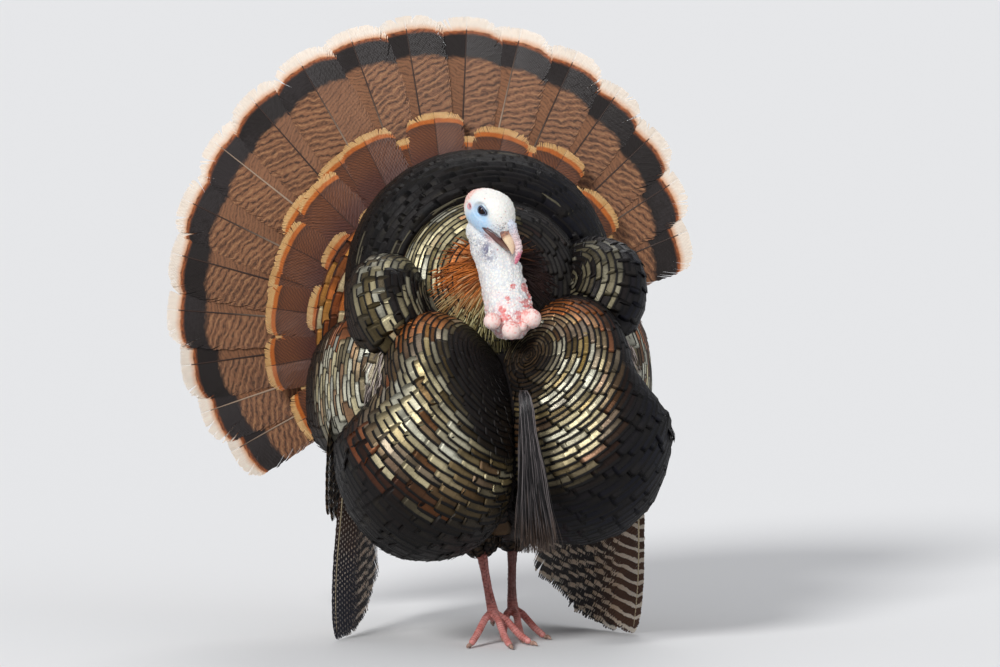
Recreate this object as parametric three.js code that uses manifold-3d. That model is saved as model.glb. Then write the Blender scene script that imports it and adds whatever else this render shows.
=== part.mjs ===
// Wild turkey cock in full strut, modelled at life size as a still museum figure.
// Units are millimetres, +Z is up. The bird faces -Y, so its right side is towards -X.
import * as THREE from 'three';
import { mergeVertices } from 'three/addons/utils/BufferGeometryUtils.js';
import Module from 'manifold-3d';

const wasm = await Module();
wasm.setup();

// ---------------------------------------------------------------- driving dimensions
const PART_GAP = 0.45;           // parting gap between touching pieces
const FAR = 900;                 // beyond every side of the figure
const FLOOR = 0;                 // level of the flats under the toes and wing tips
const SIDES = { left: 1, right: -1 };

const FAN = {
  feathers: 18,
  pivot: new THREE.Vector3(0, 196, 380),
  axisRoll: 25,                  // degrees that the whole fan leans to the bird's right
  spread: 184,                   // degrees between the shafts of the outermost pair
  rootRadius: 68,
  centreLength: 419,
  outerLength: 336,
  halfWidth: 40,
  cupSlope: 0.17,                // how far the outer feathers lean forward
  tipCurl: 18,                   // how far the tips curl back
  thickness: 1.1,
  shingle: 2.1,                  // step back from each feather to the next one outward
};

// Two rows of coverts lie on the front of the fan, as thick plates with a scalloped rim.
const LONG_COVERTS = {
  feathers: 11,
  reach: 287,
  outerReach: 246,
  ahead: 13,
  thickness: 7,
  scallop: 13,
  spread: 186,
};
const SHORT_COVERTS = {
  feathers: 9,
  reach: 205,
  outerReach: 188,
  ahead: 25,
  thickness: 23,
  scallop: 9,
  spread: 190,
};

// The space kept free for the roots of the fan: its front, its back and its lower edge.
const FAN_SLOT = { front: 146, rear: 222, below: 47, tilt: 27 };

const WING = {
  front: [200, -60],             // where the leading edge stands, x and y
  rear: [118, 172],              // where the panel ends at the tail side
  primaries: 10,
  secondaries: 8,
  primaryTop: 205,
  bulge: { left: 20, right: 4 }, // the left wing is held further from the body
  inner: 34,                     // how far inside the quills the wing's own space begins
  spaceTop: 420,
  spaceBottom: 232,
};

const HEAD = {
  centre: new THREE.Vector3(-15, -138, 564),
  yaw: 38,                       // degrees turned to the bird's left
  pitch: 38,                     // degrees that the bill points down
  eyeRadius: 6.1,
  eyeOut: 15.9,
  jaw: -27,                      // level that parts head from neck, in the head's own frame
};

const BODY_ROLL = 9;             // how much higher the left side of the breast is carried

// Flat planes that part the body: breast from back, back from rump, upper from lower body.
const PARTING = {
  behindBreast: -44,
  behindFlank: 14,
  behindMantle: 76,
  underBack: 286,
  behindTrunk: 158,
};

const COLOURS = {
  bronze: 0x6b5434,
  dark: 0x1c1a1c,
  gold: 0x9a8a55,
  brown: 0x7d5a3c,
  rust: 0xb06a2c,
  fan: 0x8d6446,
  whiteSkin: 0xe8ecf0,
  redSkin: 0xe3a79e,
  horn: 0xcbb08f,
  claw: 0x3a2c26,
  leg: 0xb9705f,
  eye: 0x120c0a,
};

// ---------------------------------------------------------------- solids and booleans
function toSolid(geometry) {
  const bare = geometry.clone();
  bare.deleteAttribute('normal');
  bare.deleteAttribute('uv');
  const merged = mergeVertices(bare, 1e-4);
  return new wasm.Manifold(new wasm.Mesh({
    numProp: 3,
    vertProperties: new Float32Array(merged.attributes.position.array),
    triVerts: new Uint32Array(merged.index.array),
  }));
}

function toGeometry(solid) {
  const mesh = solid.getMesh();
  const geometry = new THREE.BufferGeometry();
  geometry.setAttribute('position', new THREE.BufferAttribute(new Float32Array(mesh.vertProperties), 3));
  geometry.setIndex(new THREE.BufferAttribute(new Uint32Array(mesh.triVerts), 1));
  geometry.computeVertexNormals();
  return geometry;
}

// The same shape with all its faces moved out by an amount, to cut a parting gap with.
function grown(geometry, amount) {
  const shape = mergeVertices(stripped(geometry.clone()), 1e-4);
  shape.computeVertexNormals();
  const place = shape.attributes.position;
  const normal = shape.attributes.normal;
  const index = shape.index.array;
  const flattest = new Float32Array(place.count).fill(1);
  const triangle = new THREE.Triangle();
  const facing = new THREE.Vector3();
  const lean = new THREE.Vector3();
  for (let i = 0; i < index.length; i += 3) {
    triangle.setFromAttributeAndIndices(place, index[i], index[i + 1], index[i + 2]);
    triangle.getNormal(facing);
    for (const corner of [index[i], index[i + 1], index[i + 2]]) {
      lean.fromBufferAttribute(normal, corner);
      flattest[corner] = Math.min(flattest[corner], Math.max(0.3, facing.dot(lean)));
    }
  }
  for (let i = 0; i < place.count; i++) {
    lean.fromBufferAttribute(normal, i).multiplyScalar(amount / flattest[i]);
    place.setXYZ(i, place.getX(i) + lean.x, place.getY(i) + lean.y, place.getZ(i) + lean.z);
  }
  return shape;
}

function largestBody(solid) {
  const bodies = solid.decompose();
  let best = bodies[0];
  for (const body of bodies) {
    if (Math.abs(body.volume()) > Math.abs(best.volume())) {
      best = body;
    }
  }
  return best;
}

// ---------------------------------------------------------------- shape makers
// A closed body through a row of closed loops, all with the same number of points.
function loft(loops) {
  const count = loops[0].length;
  const points = loops.flat();
  const faces = [];
  for (let k = 0; k + 1 < loops.length; k++) {
    for (let i = 0; i < count; i++) {
      const a = k * count + i;
      const b = k * count + (i + 1) % count;
      faces.push(a, b, b + count, a, b + count, a + count);
    }
  }
  const middle = (loop) => loop.reduce((sum, p) => sum.add(p), new THREE.Vector3()).divideScalar(count);
  const startIndex = points.length;
  points.push(middle(loops[0]), middle(loops[loops.length - 1]));
  const last = (loops.length - 1) * count;
  for (let i = 0; i < count; i++) {
    faces.push(startIndex, (i + 1) % count, i);
    faces.push(startIndex + 1, last + i, last + (i + 1) % count);
  }
  const geometry = new THREE.BufferGeometry().setFromPoints(points);
  geometry.setIndex(faces);
  return outward(geometry);
}

// Turns a closed geometry right side out if its volume comes out negative.
function outward(geometry) {
  const p = geometry.attributes.position;
  const index = geometry.index.array;
  const a = new THREE.Vector3();
  const b = new THREE.Vector3();
  const c = new THREE.Vector3();
  let volume = 0;
  for (let i = 0; i < index.length; i += 3) {
    a.fromBufferAttribute(p, index[i]);
    b.fromBufferAttribute(p, index[i + 1]);
    c.fromBufferAttribute(p, index[i + 2]);
    volume += a.dot(b.cross(c));
  }
  if (volume < 0) {
    for (let i = 0; i < index.length; i += 3) {
      [index[i + 1], index[i + 2]] = [index[i + 2], index[i + 1]];
    }
  }
  geometry.computeVertexNormals();
  return geometry;
}

// A rounded body: a ball stretched to three half-sizes, with squarer shoulders above power 2.
function lobe({ centre, half, power = 2, turn = [0, 0, 0], detail = 4, shape = null }) {
  const geometry = mergeVertices(stripped(new THREE.IcosahedronGeometry(1, detail)), 1e-4);
  const place = geometry.attributes.position;
  const spin = new THREE.Euler(...turn.map(THREE.MathUtils.degToRad));
  const v = new THREE.Vector3();
  for (let i = 0; i < place.count; i++) {
    v.fromBufferAttribute(place, i).normalize();
    const sum = Math.abs(v.x) ** power + Math.abs(v.y) ** power + Math.abs(v.z) ** power;
    v.multiplyScalar(sum ** (-1 / power));
    if (shape) {
      shape(v);
    }
    v.multiply(new THREE.Vector3(...half)).applyEuler(spin).add(new THREE.Vector3(...centre));
    place.setXYZ(i, v.x, v.y, v.z);
  }
  return outward(geometry);
}

function stripped(geometry) {
  geometry.deleteAttribute('normal');
  geometry.deleteAttribute('uv');
  return geometry;
}

// A block moved by a mirroring matrix comes out inside out, and is turned back here.
function rightSideOut(geometry) {
  return outward(mergeVertices(stripped(geometry)));
}

// A round limb along a smooth path. Each stop is [x, y, z, half width, half depth].
function limb(stops, { around = 10, steps = 8 } = {}) {
  const curve = new THREE.CatmullRomCurve3(stops.map((s) => new THREE.Vector3(s[0], s[1], s[2])));
  const sizes = stops.map((s) => new THREE.Vector3(s[3], s[4] ?? s[3], 0));
  const widths = new THREE.CatmullRomCurve3(sizes);
  const loops = [];
  const side = new THREE.Vector3();
  for (let k = 0; k <= steps; k++) {
    const t = k / steps;
    const at = curve.getPoint(t);
    const ahead = curve.getTangent(t);
    side.set(1, 0, 0).addScaledVector(ahead, -ahead.x).normalize();
    const over = new THREE.Vector3().crossVectors(ahead, side);
    const size = widths.getPoint(t);
    const loop = [];
    for (let i = 0; i < around; i++) {
      const angle = (i / around) * Math.PI * 2;
      loop.push(at.clone()
        .addScaledVector(side, Math.cos(angle) * size.x)
        .addScaledVector(over, Math.sin(angle) * size.y));
    }
    loops.push(loop);
  }
  return loft(loops);
}

function ball(x, y, z, radius, detail = 1) {
  return lobe({ centre: [x, y, z], half: [radius, radius, radius], detail });
}

function smoothStep(low, high, value) {
  const t = THREE.MathUtils.clamp((value - low) / (high - low), 0, 1);
  return t * t * (3 - 2 * t);
}

const mix = THREE.MathUtils.lerp;

// ---------------------------------------------------------------- the scene and its parts
const turkey = new THREE.Group();
const parts = new Map();
const blanks = new Map();

function finish(name, geometry, colour, roughness = 0.6, metalness = 0) {
  const material = new THREE.MeshStandardMaterial({ color: colour, roughness, metalness });
  const mesh = new THREE.Mesh(geometry, material);
  mesh.name = name;
  turkey.add(mesh);
  parts.set(name, geometry);
}

// Cuts a shape back from plain blocks, and from named parts with the parting gap, and adds it.
// Where a part's uncut shape is kept, that simpler shape is the one cut with.
function fit(name, geometry, cutters, colour, roughness, metalness) {
  let solid = toSolid(geometry);
  for (const cutter of cutters) {
    const named = blanks.get(cutter) ?? parts.get(cutter);
    solid = solid.subtract(toSolid(named ? grown(named, PART_GAP) : cutter));
  }
  finish(name, toGeometry(largestBody(solid)), colour, roughness, metalness);
}

const FLOOR_BLOCK = new THREE.BoxGeometry(2000, 2000, 400).translate(0, 0, FLOOR - 200);
const FAN_BLOCK = new THREE.BoxGeometry(1200, FAN_SLOT.rear - FAN_SLOT.front, 1200)
  .translate(0, 0, 600 - FAN_SLOT.below)
  .rotateY(THREE.MathUtils.degToRad(-FAN_SLOT.tilt))
  .translate(FAN.pivot.x, (FAN_SLOT.rear + FAN_SLOT.front) / 2, FAN.pivot.z);

function flattened(geometry) {
  return toGeometry(largestBody(toSolid(geometry).subtract(toSolid(FLOOR_BLOCK))));
}

// The part of space inside the given limits, less half the parting gap on every side.
function region({ x = [-FAR, FAR], y = [-FAR, FAR], z = [-FAR, FAR] }) {
  const size = [x, y, z].map(([low, high]) => high - low - PART_GAP);
  return new THREE.BoxGeometry(...size)
    .translate((x[0] + x[1]) / 2, (y[0] + y[1]) / 2, (z[0] + z[1]) / 2);
}

function within(geometry, limits) {
  return toGeometry(toSolid(geometry).intersect(toSolid(region(limits))));
}

// The space outside each wing's inner face, where only that wing's coverts lie.
function wingSpace(sign, inset) {
  const [fx, fy] = WING.front;
  const [rx, ry] = WING.rear;
  const turn = Math.atan2(fx - rx, ry - fy);
  const height = WING.spaceTop - WING.spaceBottom - inset;
  return rightSideOut(new THREE.BoxGeometry(200, 420, height)
    .translate(100 + inset, 0, WING.spaceBottom + height / 2)
    .rotateZ(turn)
    .translate((fx + rx) / 2 - WING.inner, (fy + ry) / 2, 0)
    .applyMatrix4(new THREE.Matrix4().makeScale(sign, 1, 1)));
}

// ---------------------------------------------------------------- head
const headTurn = new THREE.Matrix4();
const forward = new THREE.Vector3();
const rightward = new THREE.Vector3();
const crownward = new THREE.Vector3();
{
  const yaw = THREE.MathUtils.degToRad(HEAD.yaw);
  const pitch = THREE.MathUtils.degToRad(HEAD.pitch);
  forward.set(Math.sin(yaw) * Math.cos(pitch), -Math.cos(yaw) * Math.cos(pitch), -Math.sin(pitch));
  rightward.set(-Math.cos(yaw), -Math.sin(yaw), 0);
  crownward.crossVectors(rightward, forward);
  headTurn.makeBasis(forward, rightward, crownward).setPosition(HEAD.centre);
}

// A point given in the head's own directions: ahead, to its right, and towards the crown.
function inHead(ahead, right, up) {
  return new THREE.Vector3(ahead, right, up).applyMatrix4(headTurn);
}

// Everything under the jaw line belongs to the neck.
function belowJaw(level) {
  const size = 600;
  return rightSideOut(new THREE.BoxGeometry(size, size, size)
    .translate(0, 0, level - size / 2)
    .applyMatrix4(headTurn));
}

// Rows of [ahead, half width, top, bottom] make a body along the head's own axis.
function headLoft(rows, around, squareness = 2) {
  const loops = rows.map(([ahead, halfWidth, top, bottom]) => {
    const loop = [];
    for (let i = 0; i < around; i++) {
      const angle = (i / around) * Math.PI * 2;
      const c = Math.cos(angle);
      const s = Math.sin(angle);
      const reach = (Math.abs(c) ** squareness + Math.abs(s) ** squareness) ** (-1 / squareness);
      const height = (top - bottom) / 2;
      loop.push(inHead(ahead, c * reach * halfWidth, (top + bottom) / 2 + s * reach * height));
    }
    return loop;
  });
  return loft(loops);
}

function addHead() {
  for (const [side, sign] of Object.entries(SIDES)) {
    const at = inHead(0, -sign * HEAD.eyeOut, 0);
    finish(`eye_${side}`, ball(at.x, at.y, at.z, HEAD.eyeRadius), COLOURS.eye, 0.1);
  }
  fit('upper_bill', headLoft([
    [34.5, 9.6, 5, -18.6],
    [42, 8.8, 1.5, -19.2],
    [50, 7.2, -4.5, -20.6],
    [57, 5.2, -11.5, -22.6],
    [62, 3, -18.5, -25],
    [64.5, 1, -23.5, -26.6],
  ], 8), [], COLOURS.horn, 0.4);
  fit('lower_bill', headLoft([
    [34.5, 8.6, -17.6, -28],
    [44, 7.4, -18.4, -28.2],
    [53, 5.2, -20.6, -27.6],
    [58.5, 2.2, -22.6, -26.8],
  ], 8), ['upper_bill'], COLOURS.horn, 0.45);
  const snood = limb([
    [...inHead(26, 0, 13).toArray(), 5],
    [...inHead(36, -3, 11).toArray(), 6.4],
    [...inHead(48, -9.5, 2).toArray(), 6],
    [...inHead(58, -13, -12).toArray(), 5.2],
    [...inHead(66, -13.5, -27).toArray(), 4.6],
    [...inHead(70, -13, -35).toArray(), 1.6],
  ], { around: 7, steps: 7 });
  fit('snood', snood, ['upper_bill', 'lower_bill'], COLOURS.redSkin, 0.6);
  const skull = headLoft([
    [-40, 6, -1, -14],
    [-36, 13, 6.5, -21],
    [-27, 19, 14, -29],
    [-15, 22.4, 20, -33],
    [-2, 22.8, 23.6, -33.5],
    [10, 21.2, 23.4, -32],
    [20, 18, 18.6, -30.5],
    [28, 14, 12, -29.6],
    [34, 11, 6.4, -28.8],
  ], 12, 2.15);
  fit('head', skull, ['eye_left', 'eye_right', 'snood', belowJaw(HEAD.jaw)], COLOURS.whiteSkin, 0.6);
  blanks.set('head', skull);
}

// ---------------------------------------------------------------- neck and caruncles
// The bare neck, with the fleshy caruncles that grow from its front.
function addNeck() {
  const column = limb([
    [-24, -124, 556, 20, 18],
    [-16, -128, 528, 30, 28],
    [-6, -137, 494, 31, 31],
    [-1, -150, 464, 31, 31],
    [0, -170, 440, 31, 31],
    [0, -182, 420, 28, 27],
    [0, -180, 406, 16, 15],
  ], { around: 10, steps: 7 });
  let neck = toSolid(column).intersect(toSolid(belowJaw(HEAD.jaw - PART_GAP)));
  const caruncles = [
    [-28, -205, 428, 12],
    [-5, -214, 416.5, 12],
    [23.5, -201, 429.5, 13.4],
    [10, -209, 424, 9, 0],
    [-12, -200, 434, 11, 0],
  ];
  for (const caruncle of caruncles) {
    neck = neck.add(toSolid(ball(...caruncle)));
  }
  fit('neck', toGeometry(neck), ['snood', 'lower_bill'], COLOURS.whiteSkin, 0.6);
  blanks.set('neck', column);
}

// ---------------------------------------------------------------- breast, back and flanks
function addBody() {
  for (const [side, sign] of Object.entries(SIDES)) {
    const pillow = lobe({
      centre: [sign * 96, -112, 283 + sign * BODY_ROLL],
      half: [119, 158, 160],
      power: 2.25,
      turn: [-8, 0, sign * 7],
      detail: 4,
      // The top narrows to a crest, most of all on the outer side, where the wing lies against it.
      shape: (v) => {
        v.x *= v.x * sign > 0
          ? 1 - 0.48 * smoothStep(-0.15, 0.45, v.z)
          : 1 - 0.13 * smoothStep(0.2, 1, v.z);
      },
    });
    const own = within(pillow, {
      x: sign > 0 ? [0, FAR] : [-FAR, 0],
      y: [-FAR, PARTING.behindFlank],
    });
    const upperBack = region({
      y: [PARTING.behindBreast - PART_GAP, FAR],
      z: [PARTING.underBack - PART_GAP, FAR],
    });
    fit(`breast_${side}`, own, ['neck', upperBack], COLOURS.bronze, 0.4, 0.5);
    blanks.set(`breast_${side}`, own);
  }
  for (const [side, sign] of Object.entries(SIDES)) {
    const scapulars = within(lobe({
      centre: [sign * 131, -60, 436 + sign * BODY_ROLL],
      half: [58, 98, 76],
      power: 2.2,
      turn: [-12, sign * 10, sign * 14],
      detail: 2,
    }), { y: [-FAR, PARTING.behindBreast] });
    fit(`shoulder_${side}`, scapulars, [`breast_${side}`], COLOURS.gold, 0.4, 0.5);
    blanks.set(`shoulder_${side}`, scapulars);
  }
  const shoulders = ['shoulder_left', 'shoulder_right'];
  fit('neck_ruff', within(lobe({
    centre: [0, -54, 448],
    half: [123, 94, 126],
    power: 2.1,
    turn: [-14, 0, 0],
    detail: 2,
  }), { y: [-FAR, PARTING.behindBreast] }),
  ['head', 'neck', 'breast_left', 'breast_right', ...shoulders], COLOURS.gold, 0.4, 0.5);
}

// The raised feathers of the back make one dome, parted into mantle and rump.
function addBack() {
  const dome = lobe({
    centre: [4, 50, 446],
    half: [175, 121, 184],
    power: 2.15,
    turn: [8, 0, 0],
    detail: 3,
  });
  const others = [wingSpace(1, 0), wingSpace(-1, 0), FAN_BLOCK];
  fit('mantle', within(dome, {
    y: [PARTING.behindBreast, PARTING.behindMantle],
    z: [PARTING.underBack, FAR],
  }), others, COLOURS.dark, 0.3, 0.4);
  fit('rump', within(dome, {
    y: [PARTING.behindMantle, PARTING.behindTrunk],
    z: [PARTING.underBack, FAR],
  }), others, COLOURS.rust, 0.4, 0.4);
}

function addWings() {
  for (const [side, sign] of Object.entries(SIDES)) {
    const coverts = lobe({
      centre: [sign * 160, -10, 338 + sign * BODY_ROLL],
      half: [57, 138, 92],
      power: 2.3,
      turn: [-14, sign * -4, sign * -9],
      detail: 2,
    });
    const ahead = toSolid(region({ y: [-FAR, PARTING.behindBreast - PART_GAP] }));
    const outside = toSolid(coverts).intersect(toSolid(wingSpace(sign, PART_GAP)).add(ahead));
    const before = [`breast_${side}`, `shoulder_${side}`, 'neck_ruff', FAN_BLOCK];
    fit(`wing_coverts_${side}`, toGeometry(outside), before, COLOURS.gold, 0.4, 0.5);
    blanks.set(`wing_coverts_${side}`, coverts);
    fit(`wing_secondaries_${side}`, featherPanel({
      sign,
      feathers: WING.secondaries,
      levels: 2,
      top: (t) => mix(312, 258, t),
      tip: (t) => mix(156, 132, t),
      scallop: 10,
      outset: (t, h) => 6 + WING.bulge[side] * Math.sin(Math.PI * (0.12 + 0.8 * h)) * (1 - 0.4 * t),
      thickness: 7,
    }), [`wing_coverts_${side}`, `breast_${side}`], COLOURS.brown, 0.5, 0.2);
    fit(`wing_primaries_${side}`, flattened(featherPanel({
      sign,
      feathers: WING.primaries,
      levels: 2,
      top: () => WING.primaryTop,
      tip: (t) => mix(-2.5, 52, smoothStep(0.32, 1, t)),
      scallop: 13,
      outset: (t, h) => -4 + 8 * Math.sin(Math.PI * h) * h,
      thickness: 3.4,
    })), [`breast_${side}`], COLOURS.brown, 0.5);
  }
}

// A standing sheet of overlapping quills, along the side of the body from front to rear.
function featherPanel({ sign, feathers, levels, top, tip, scallop, outset, thickness }) {
  const stations = feathers * 2;
  const loops = [];
  const along = new THREE.Vector2(WING.rear[0] - WING.front[0], WING.rear[1] - WING.front[1]);
  const out = new THREE.Vector2(along.y, -along.x).normalize();
  for (let k = 0; k <= stations; k++) {
    const t = k / stations;
    const notch = k % 2 === 0 ? scallop : 0;
    const low = tip(t) + notch;
    const high = top(t);
    const slant = 46 * (1 - t);
    const outer = [];
    const inner = [];
    for (let j = 0; j <= levels; j++) {
      const h = j / levels;
      const z = mix(high, low, h);
      const bulge = outset(t, h);
      const back = slant * h;
      const half = thickness / 2 * (k % 2 === 0 ? 0.7 : 1);
      const x = WING.front[0] + along.x * t;
      const y = WING.front[1] + along.y * t + back * (1 - t);
      const at = (outness) => new THREE.Vector3(sign * (x + out.x * outness), y + out.y * outness, z);
      outer.push(at(bulge + half));
      inner.unshift(at(bulge - half));
    }
    loops.push([...outer, ...inner]);
  }
  return loft(loops);
}

// ---------------------------------------------------------------- tail
// A point of the fan's dished surface, by distance from the pivot and angle off the centre line.
function fanPoint(radius, angle, ahead = 0) {
  const turned = THREE.MathUtils.degToRad(90 + FAN.axisRoll) - angle;
  const reach = radius / FAN.centreLength;
  const lean = FAN.cupSlope * Math.abs(Math.sin(angle)) ** 1.5 * reach;
  const curl = FAN.tipCurl * reach ** 2;
  return new THREE.Vector3(
    FAN.pivot.x + radius * Math.cos(turned),
    FAN.pivot.y - radius * lean + curl - ahead,
    FAN.pivot.z + radius * Math.sin(turned),
  );
}

function addFan() {
  const step = THREE.MathUtils.degToRad(FAN.spread / (FAN.feathers - 1));
  for (let i = 0; i < FAN.feathers; i++) {
    const place = i - (FAN.feathers - 1) / 2;
    const angle = place * step;
    const outness = Math.abs(place) / ((FAN.feathers - 1) / 2);
    const length = mix(FAN.centreLength, FAN.outerLength, outness ** 2.2);
    const back = (Math.abs(place) - 0.5 + (place > 0 ? 1 : 0)) * FAN.shingle;
    const number = String(i + 1).padStart(2, '0');
    finish(`tail_feather_${number}`, tailFeather(angle, length, back), COLOURS.fan, 0.6);
  }
}

function tailFeather(angle, length, back) {
  const stops = [0, 0.42, 0.82, 0.93, 0.98, 1];
  const loops = stops.map((t) => {
    const radius = mix(FAN.rootRadius, length, t);
    const narrow = mix(4, FAN.halfWidth, smoothStep(-0.15, 0.85, t) ** 0.9);
    const rounding = t > 0.9 ? Math.sqrt(1 - ((t - 0.9) / 0.108) ** 2) : 1;
    const halfWidth = narrow * rounding;
    const loop = [];
    for (const [across, ahead] of [[-1, 0], [-1, 1], [1, 1], [1, 0]]) {
      const off = Math.asin(THREE.MathUtils.clamp(across * halfWidth / radius, -1, 1));
      loop.push(fanPoint(radius, angle + off, ahead * FAN.thickness - back));
    }
    return loop;
  });
  return loft(loops);
}

// A thick dished plate with a scalloped rim, for a row of tail coverts lying on the fan.
function covertPlate({ feathers, reach, outerReach, ahead, thickness, scallop, spread }) {
  const around = feathers * 2;
  const rings = [0, 0.5, 1];
  const loops = [];
  const half = THREE.MathUtils.degToRad(spread) / 2;
  for (let k = 0; k <= around; k++) {
    const t = k / around * 2 - 1;
    const rim = mix(reach, outerReach, Math.abs(t) ** 2) - (k % 2 === 0 ? scallop : 0);
    const at = (r, level) => fanPoint(mix(FAN.rootRadius, rim, r), t * half, level);
    const front = rings.map((r) => at(r, ahead + thickness * (1 - 0.8 * r)));
    const rear = rings.map((r) => at(r, ahead)).reverse();
    loops.push([...front, ...rear]);
  }
  return loft(loops);
}

function addTailCoverts() {
  fit('tail_coverts_long', covertPlate(LONG_COVERTS), [], COLOURS.rust, 0.5);
  fit('tail_coverts_short', covertPlate(SHORT_COVERTS), [], COLOURS.rust, 0.4, 0.3);
}

function addRear() {
  const root = FAN.rootRadius * 0.87;
  fit('tail_base', lobe({
    centre: [FAN.pivot.x, (FAN_SLOT.front + FAN_SLOT.rear) / 2, FAN.pivot.z],
    half: [root, (FAN_SLOT.rear - FAN_SLOT.front) / 2, root],
    power: 2.6,
    detail: 1,
  }), [], COLOURS.rust, 0.5);
  fit('undertail', within(lobe({
    centre: [2, 228, 334],
    half: [136, 92, 130],
    power: 2.2,
    turn: [12, 0, 0],
    detail: 2,
  }), { y: [PARTING.behindTrunk, FAR] }), ['tail_base', FAN_BLOCK], COLOURS.brown, 0.7);
  const trunk = within(lobe({
    centre: [3, 20, 290],
    half: [176, 186, 166],
    power: 2.2,
    turn: [4, 0, 0],
    detail: 2,
    shape: (v) => {
      v.x *= 1 - 0.4 * smoothStep(-0.35, 0.75, v.y);
    },
  }), { y: [PARTING.behindFlank, PARTING.behindTrunk], z: [-FAR, PARTING.underBack] });
  fit('trunk', trunk, [wingSpace(1, 0), wingSpace(-1, 0), FAN_BLOCK], COLOURS.dark, 0.5, 0.2);
}

// ---------------------------------------------------------------- beard
function addBeard() {
  const strand = limb([
    [2, -262, 344, 4, 4],
    [2, -272, 330, 8, 6],
    [4, -278, 290, 10, 7],
    [9, -276, 245, 15, 8],
    [13, -271, 200, 20, 9],
    [18, -264, 160, 25, 9],
    [20, -260, 143, 20, 6],
  ], { around: 7, steps: 7 });
  fit('beard', strand, ['breast_left', 'breast_right'], COLOURS.dark, 0.7);
}

// ---------------------------------------------------------------- legs
const LEGS = {
  right: {
    thigh: [-13, -34, 152],
    hock: [-11, -38, 121],
    heel: [-3, -72, 46],
    toes: [
      [[-16, -92, 32], [-30, -112, 15], [-40, -128, 6]],
      [[1, -96, 32], [3, -124, 15], [5, -148, 6]],
      [[14, -86, 30], [27, -104, 13], [36, -118, 6]],
    ],
    hind: [[-1, -54, 34], [3, -42, 26]],
  },
  left: {
    thigh: [42, 22, 152],
    hock: [42, 18, 121],
    heel: [37, -4, 42],
    toes: [
      [[26, -24, 30], [18, -46, 14], [14, -62, 6]],
      [[38, -30, 30], [36, -58, 14], [34, -84, 6]],
      [[48, -20, 30], [60, -38, 14], [68, -52, 6]],
    ],
    hind: [[36, 14, 30], [33, 27, 22]],
  },
};

const TOE_END = 5;               // the blunt end of each toe, past its last joint

function addLegs() {
  for (const [side, leg] of Object.entries(LEGS)) {
    const [hx, hy, hz] = leg.heel;
    const shank = limb([
      [...leg.hock, 8.5, 9],
      [mix(leg.hock[0], hx, 0.5), mix(leg.hock[1], hy, 0.42), mix(leg.hock[2], hz, 0.5), 5.8, 6.6],
      [mix(leg.hock[0], hx, 0.85), mix(leg.hock[1], hy, 0.82), mix(leg.hock[2], hz, 0.86), 6.2, 7],
      [hx, hy - 3, hz - 1, 8, 7.5],
      [hx, hy - 12, hz - 9, 6.5, 6],
    ], { around: 7, steps: 5 });
    let foot = toSolid(shank);
    leg.toes.forEach((toe, number) => {
      const claw = clawOn(toe[1], toe[2]);
      finish(`claw_${side}_${number + 1}`, claw, COLOURS.claw, 0.4);
      foot = foot.add(toSolid(limb([
        [hx, hy - 4, hz - 5, 5.5, 5.5],
        [...toe[0], 5.6, 5.6],
        [...toe[1], 5.4, 5.2],
        [...toe[2], 5.2, 5],
        [...beyond(toe[1], toe[2], TOE_END), 2.9, 2.9],
      ], { around: 5, steps: 4 })));
    });
    const hindClaw = clawOn(leg.hind[0], leg.hind[1]);
    finish(`claw_${side}_4`, hindClaw, COLOURS.claw, 0.4);
    foot = foot.add(toSolid(limb([
      [hx, hy + 4, hz - 2, 4.2, 4.2],
      [...leg.hind[0], 4.2, 4.2],
      [...leg.hind[1], 3.6, 3.6],
      [...beyond(leg.hind[0], leg.hind[1], TOE_END), 2.6, 2.6],
    ], { around: 5, steps: 3 })));
    const [sx, sy, sz] = [0.67, 0.62, 0.66].map((t, i) => mix(leg.hock[i], leg.heel[i], t));
    const spur = limb([
      [sx, sy + 4, sz, 3.6],
      [sx, sy + 14, sz - 1, 2.5],
      [sx, sy + 24, sz + 4, 0.7],
    ], { around: 6, steps: 2 });
    finish(`spur_${side}`, spur, COLOURS.claw, 0.4);
    const flat = flattened(toGeometry(foot));
    fit(`leg_${side}`, flat, [`spur_${side}`], COLOURS.leg, 0.6);
    fit(`thigh_${side}`, lobe({
      centre: leg.thigh,
      half: [34, 42, 46],
      detail: 1,
    }), [`leg_${side}`, 'trunk', 'breast_left', 'breast_right'], COLOURS.dark, 0.6);
  }
}

// A point on the line of a toe, past its last joint.
function beyond(from, to, distance) {
  const way = new THREE.Vector3(...to).sub(new THREE.Vector3(...from)).normalize();
  return new THREE.Vector3(...to).addScaledVector(way, distance).toArray();
}

// A curved claw that starts just off the blunt end of its toe and stops short of the floor.
function clawOn(from, to) {
  const root = beyond(from, to, TOE_END + 1.8);
  const middle = beyond(from, to, TOE_END + 7);
  const tip = beyond(from, to, TOE_END + 14);
  middle[2] = Math.max(middle[2] + 0.5, FLOOR + 4.4);
  tip[2] = Math.max(tip[2], FLOOR + 1.6);
  return limb([
    [...root, 3, 3],
    [...middle, 2.5, 2.6],
    [...tip, 0.6, 0.6],
  ], { around: 5, steps: 2 });
}

// ---------------------------------------------------------------- build
addHead();
addNeck();
addBody();
addBack();
addWings();
addFan();
addTailCoverts();
addRear();
addBeard();
addLegs();

// The figure stands with the middle of its base at the origin.
const box = new THREE.Box3();
turkey.updateMatrixWorld(true);
box.setFromObject(turkey);
turkey.position.set(-(box.min.x + box.max.x) / 2, -(box.min.y + box.max.y) / 2, -box.min.z);

export default turkey;
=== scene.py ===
"""The looks of a wild turkey cock in full strut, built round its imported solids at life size."""
import math
import bpy
import bmesh
import numpy as np
from mathutils import Matrix, Vector, noise
from mathutils.bvhtree import BVHTree


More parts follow.
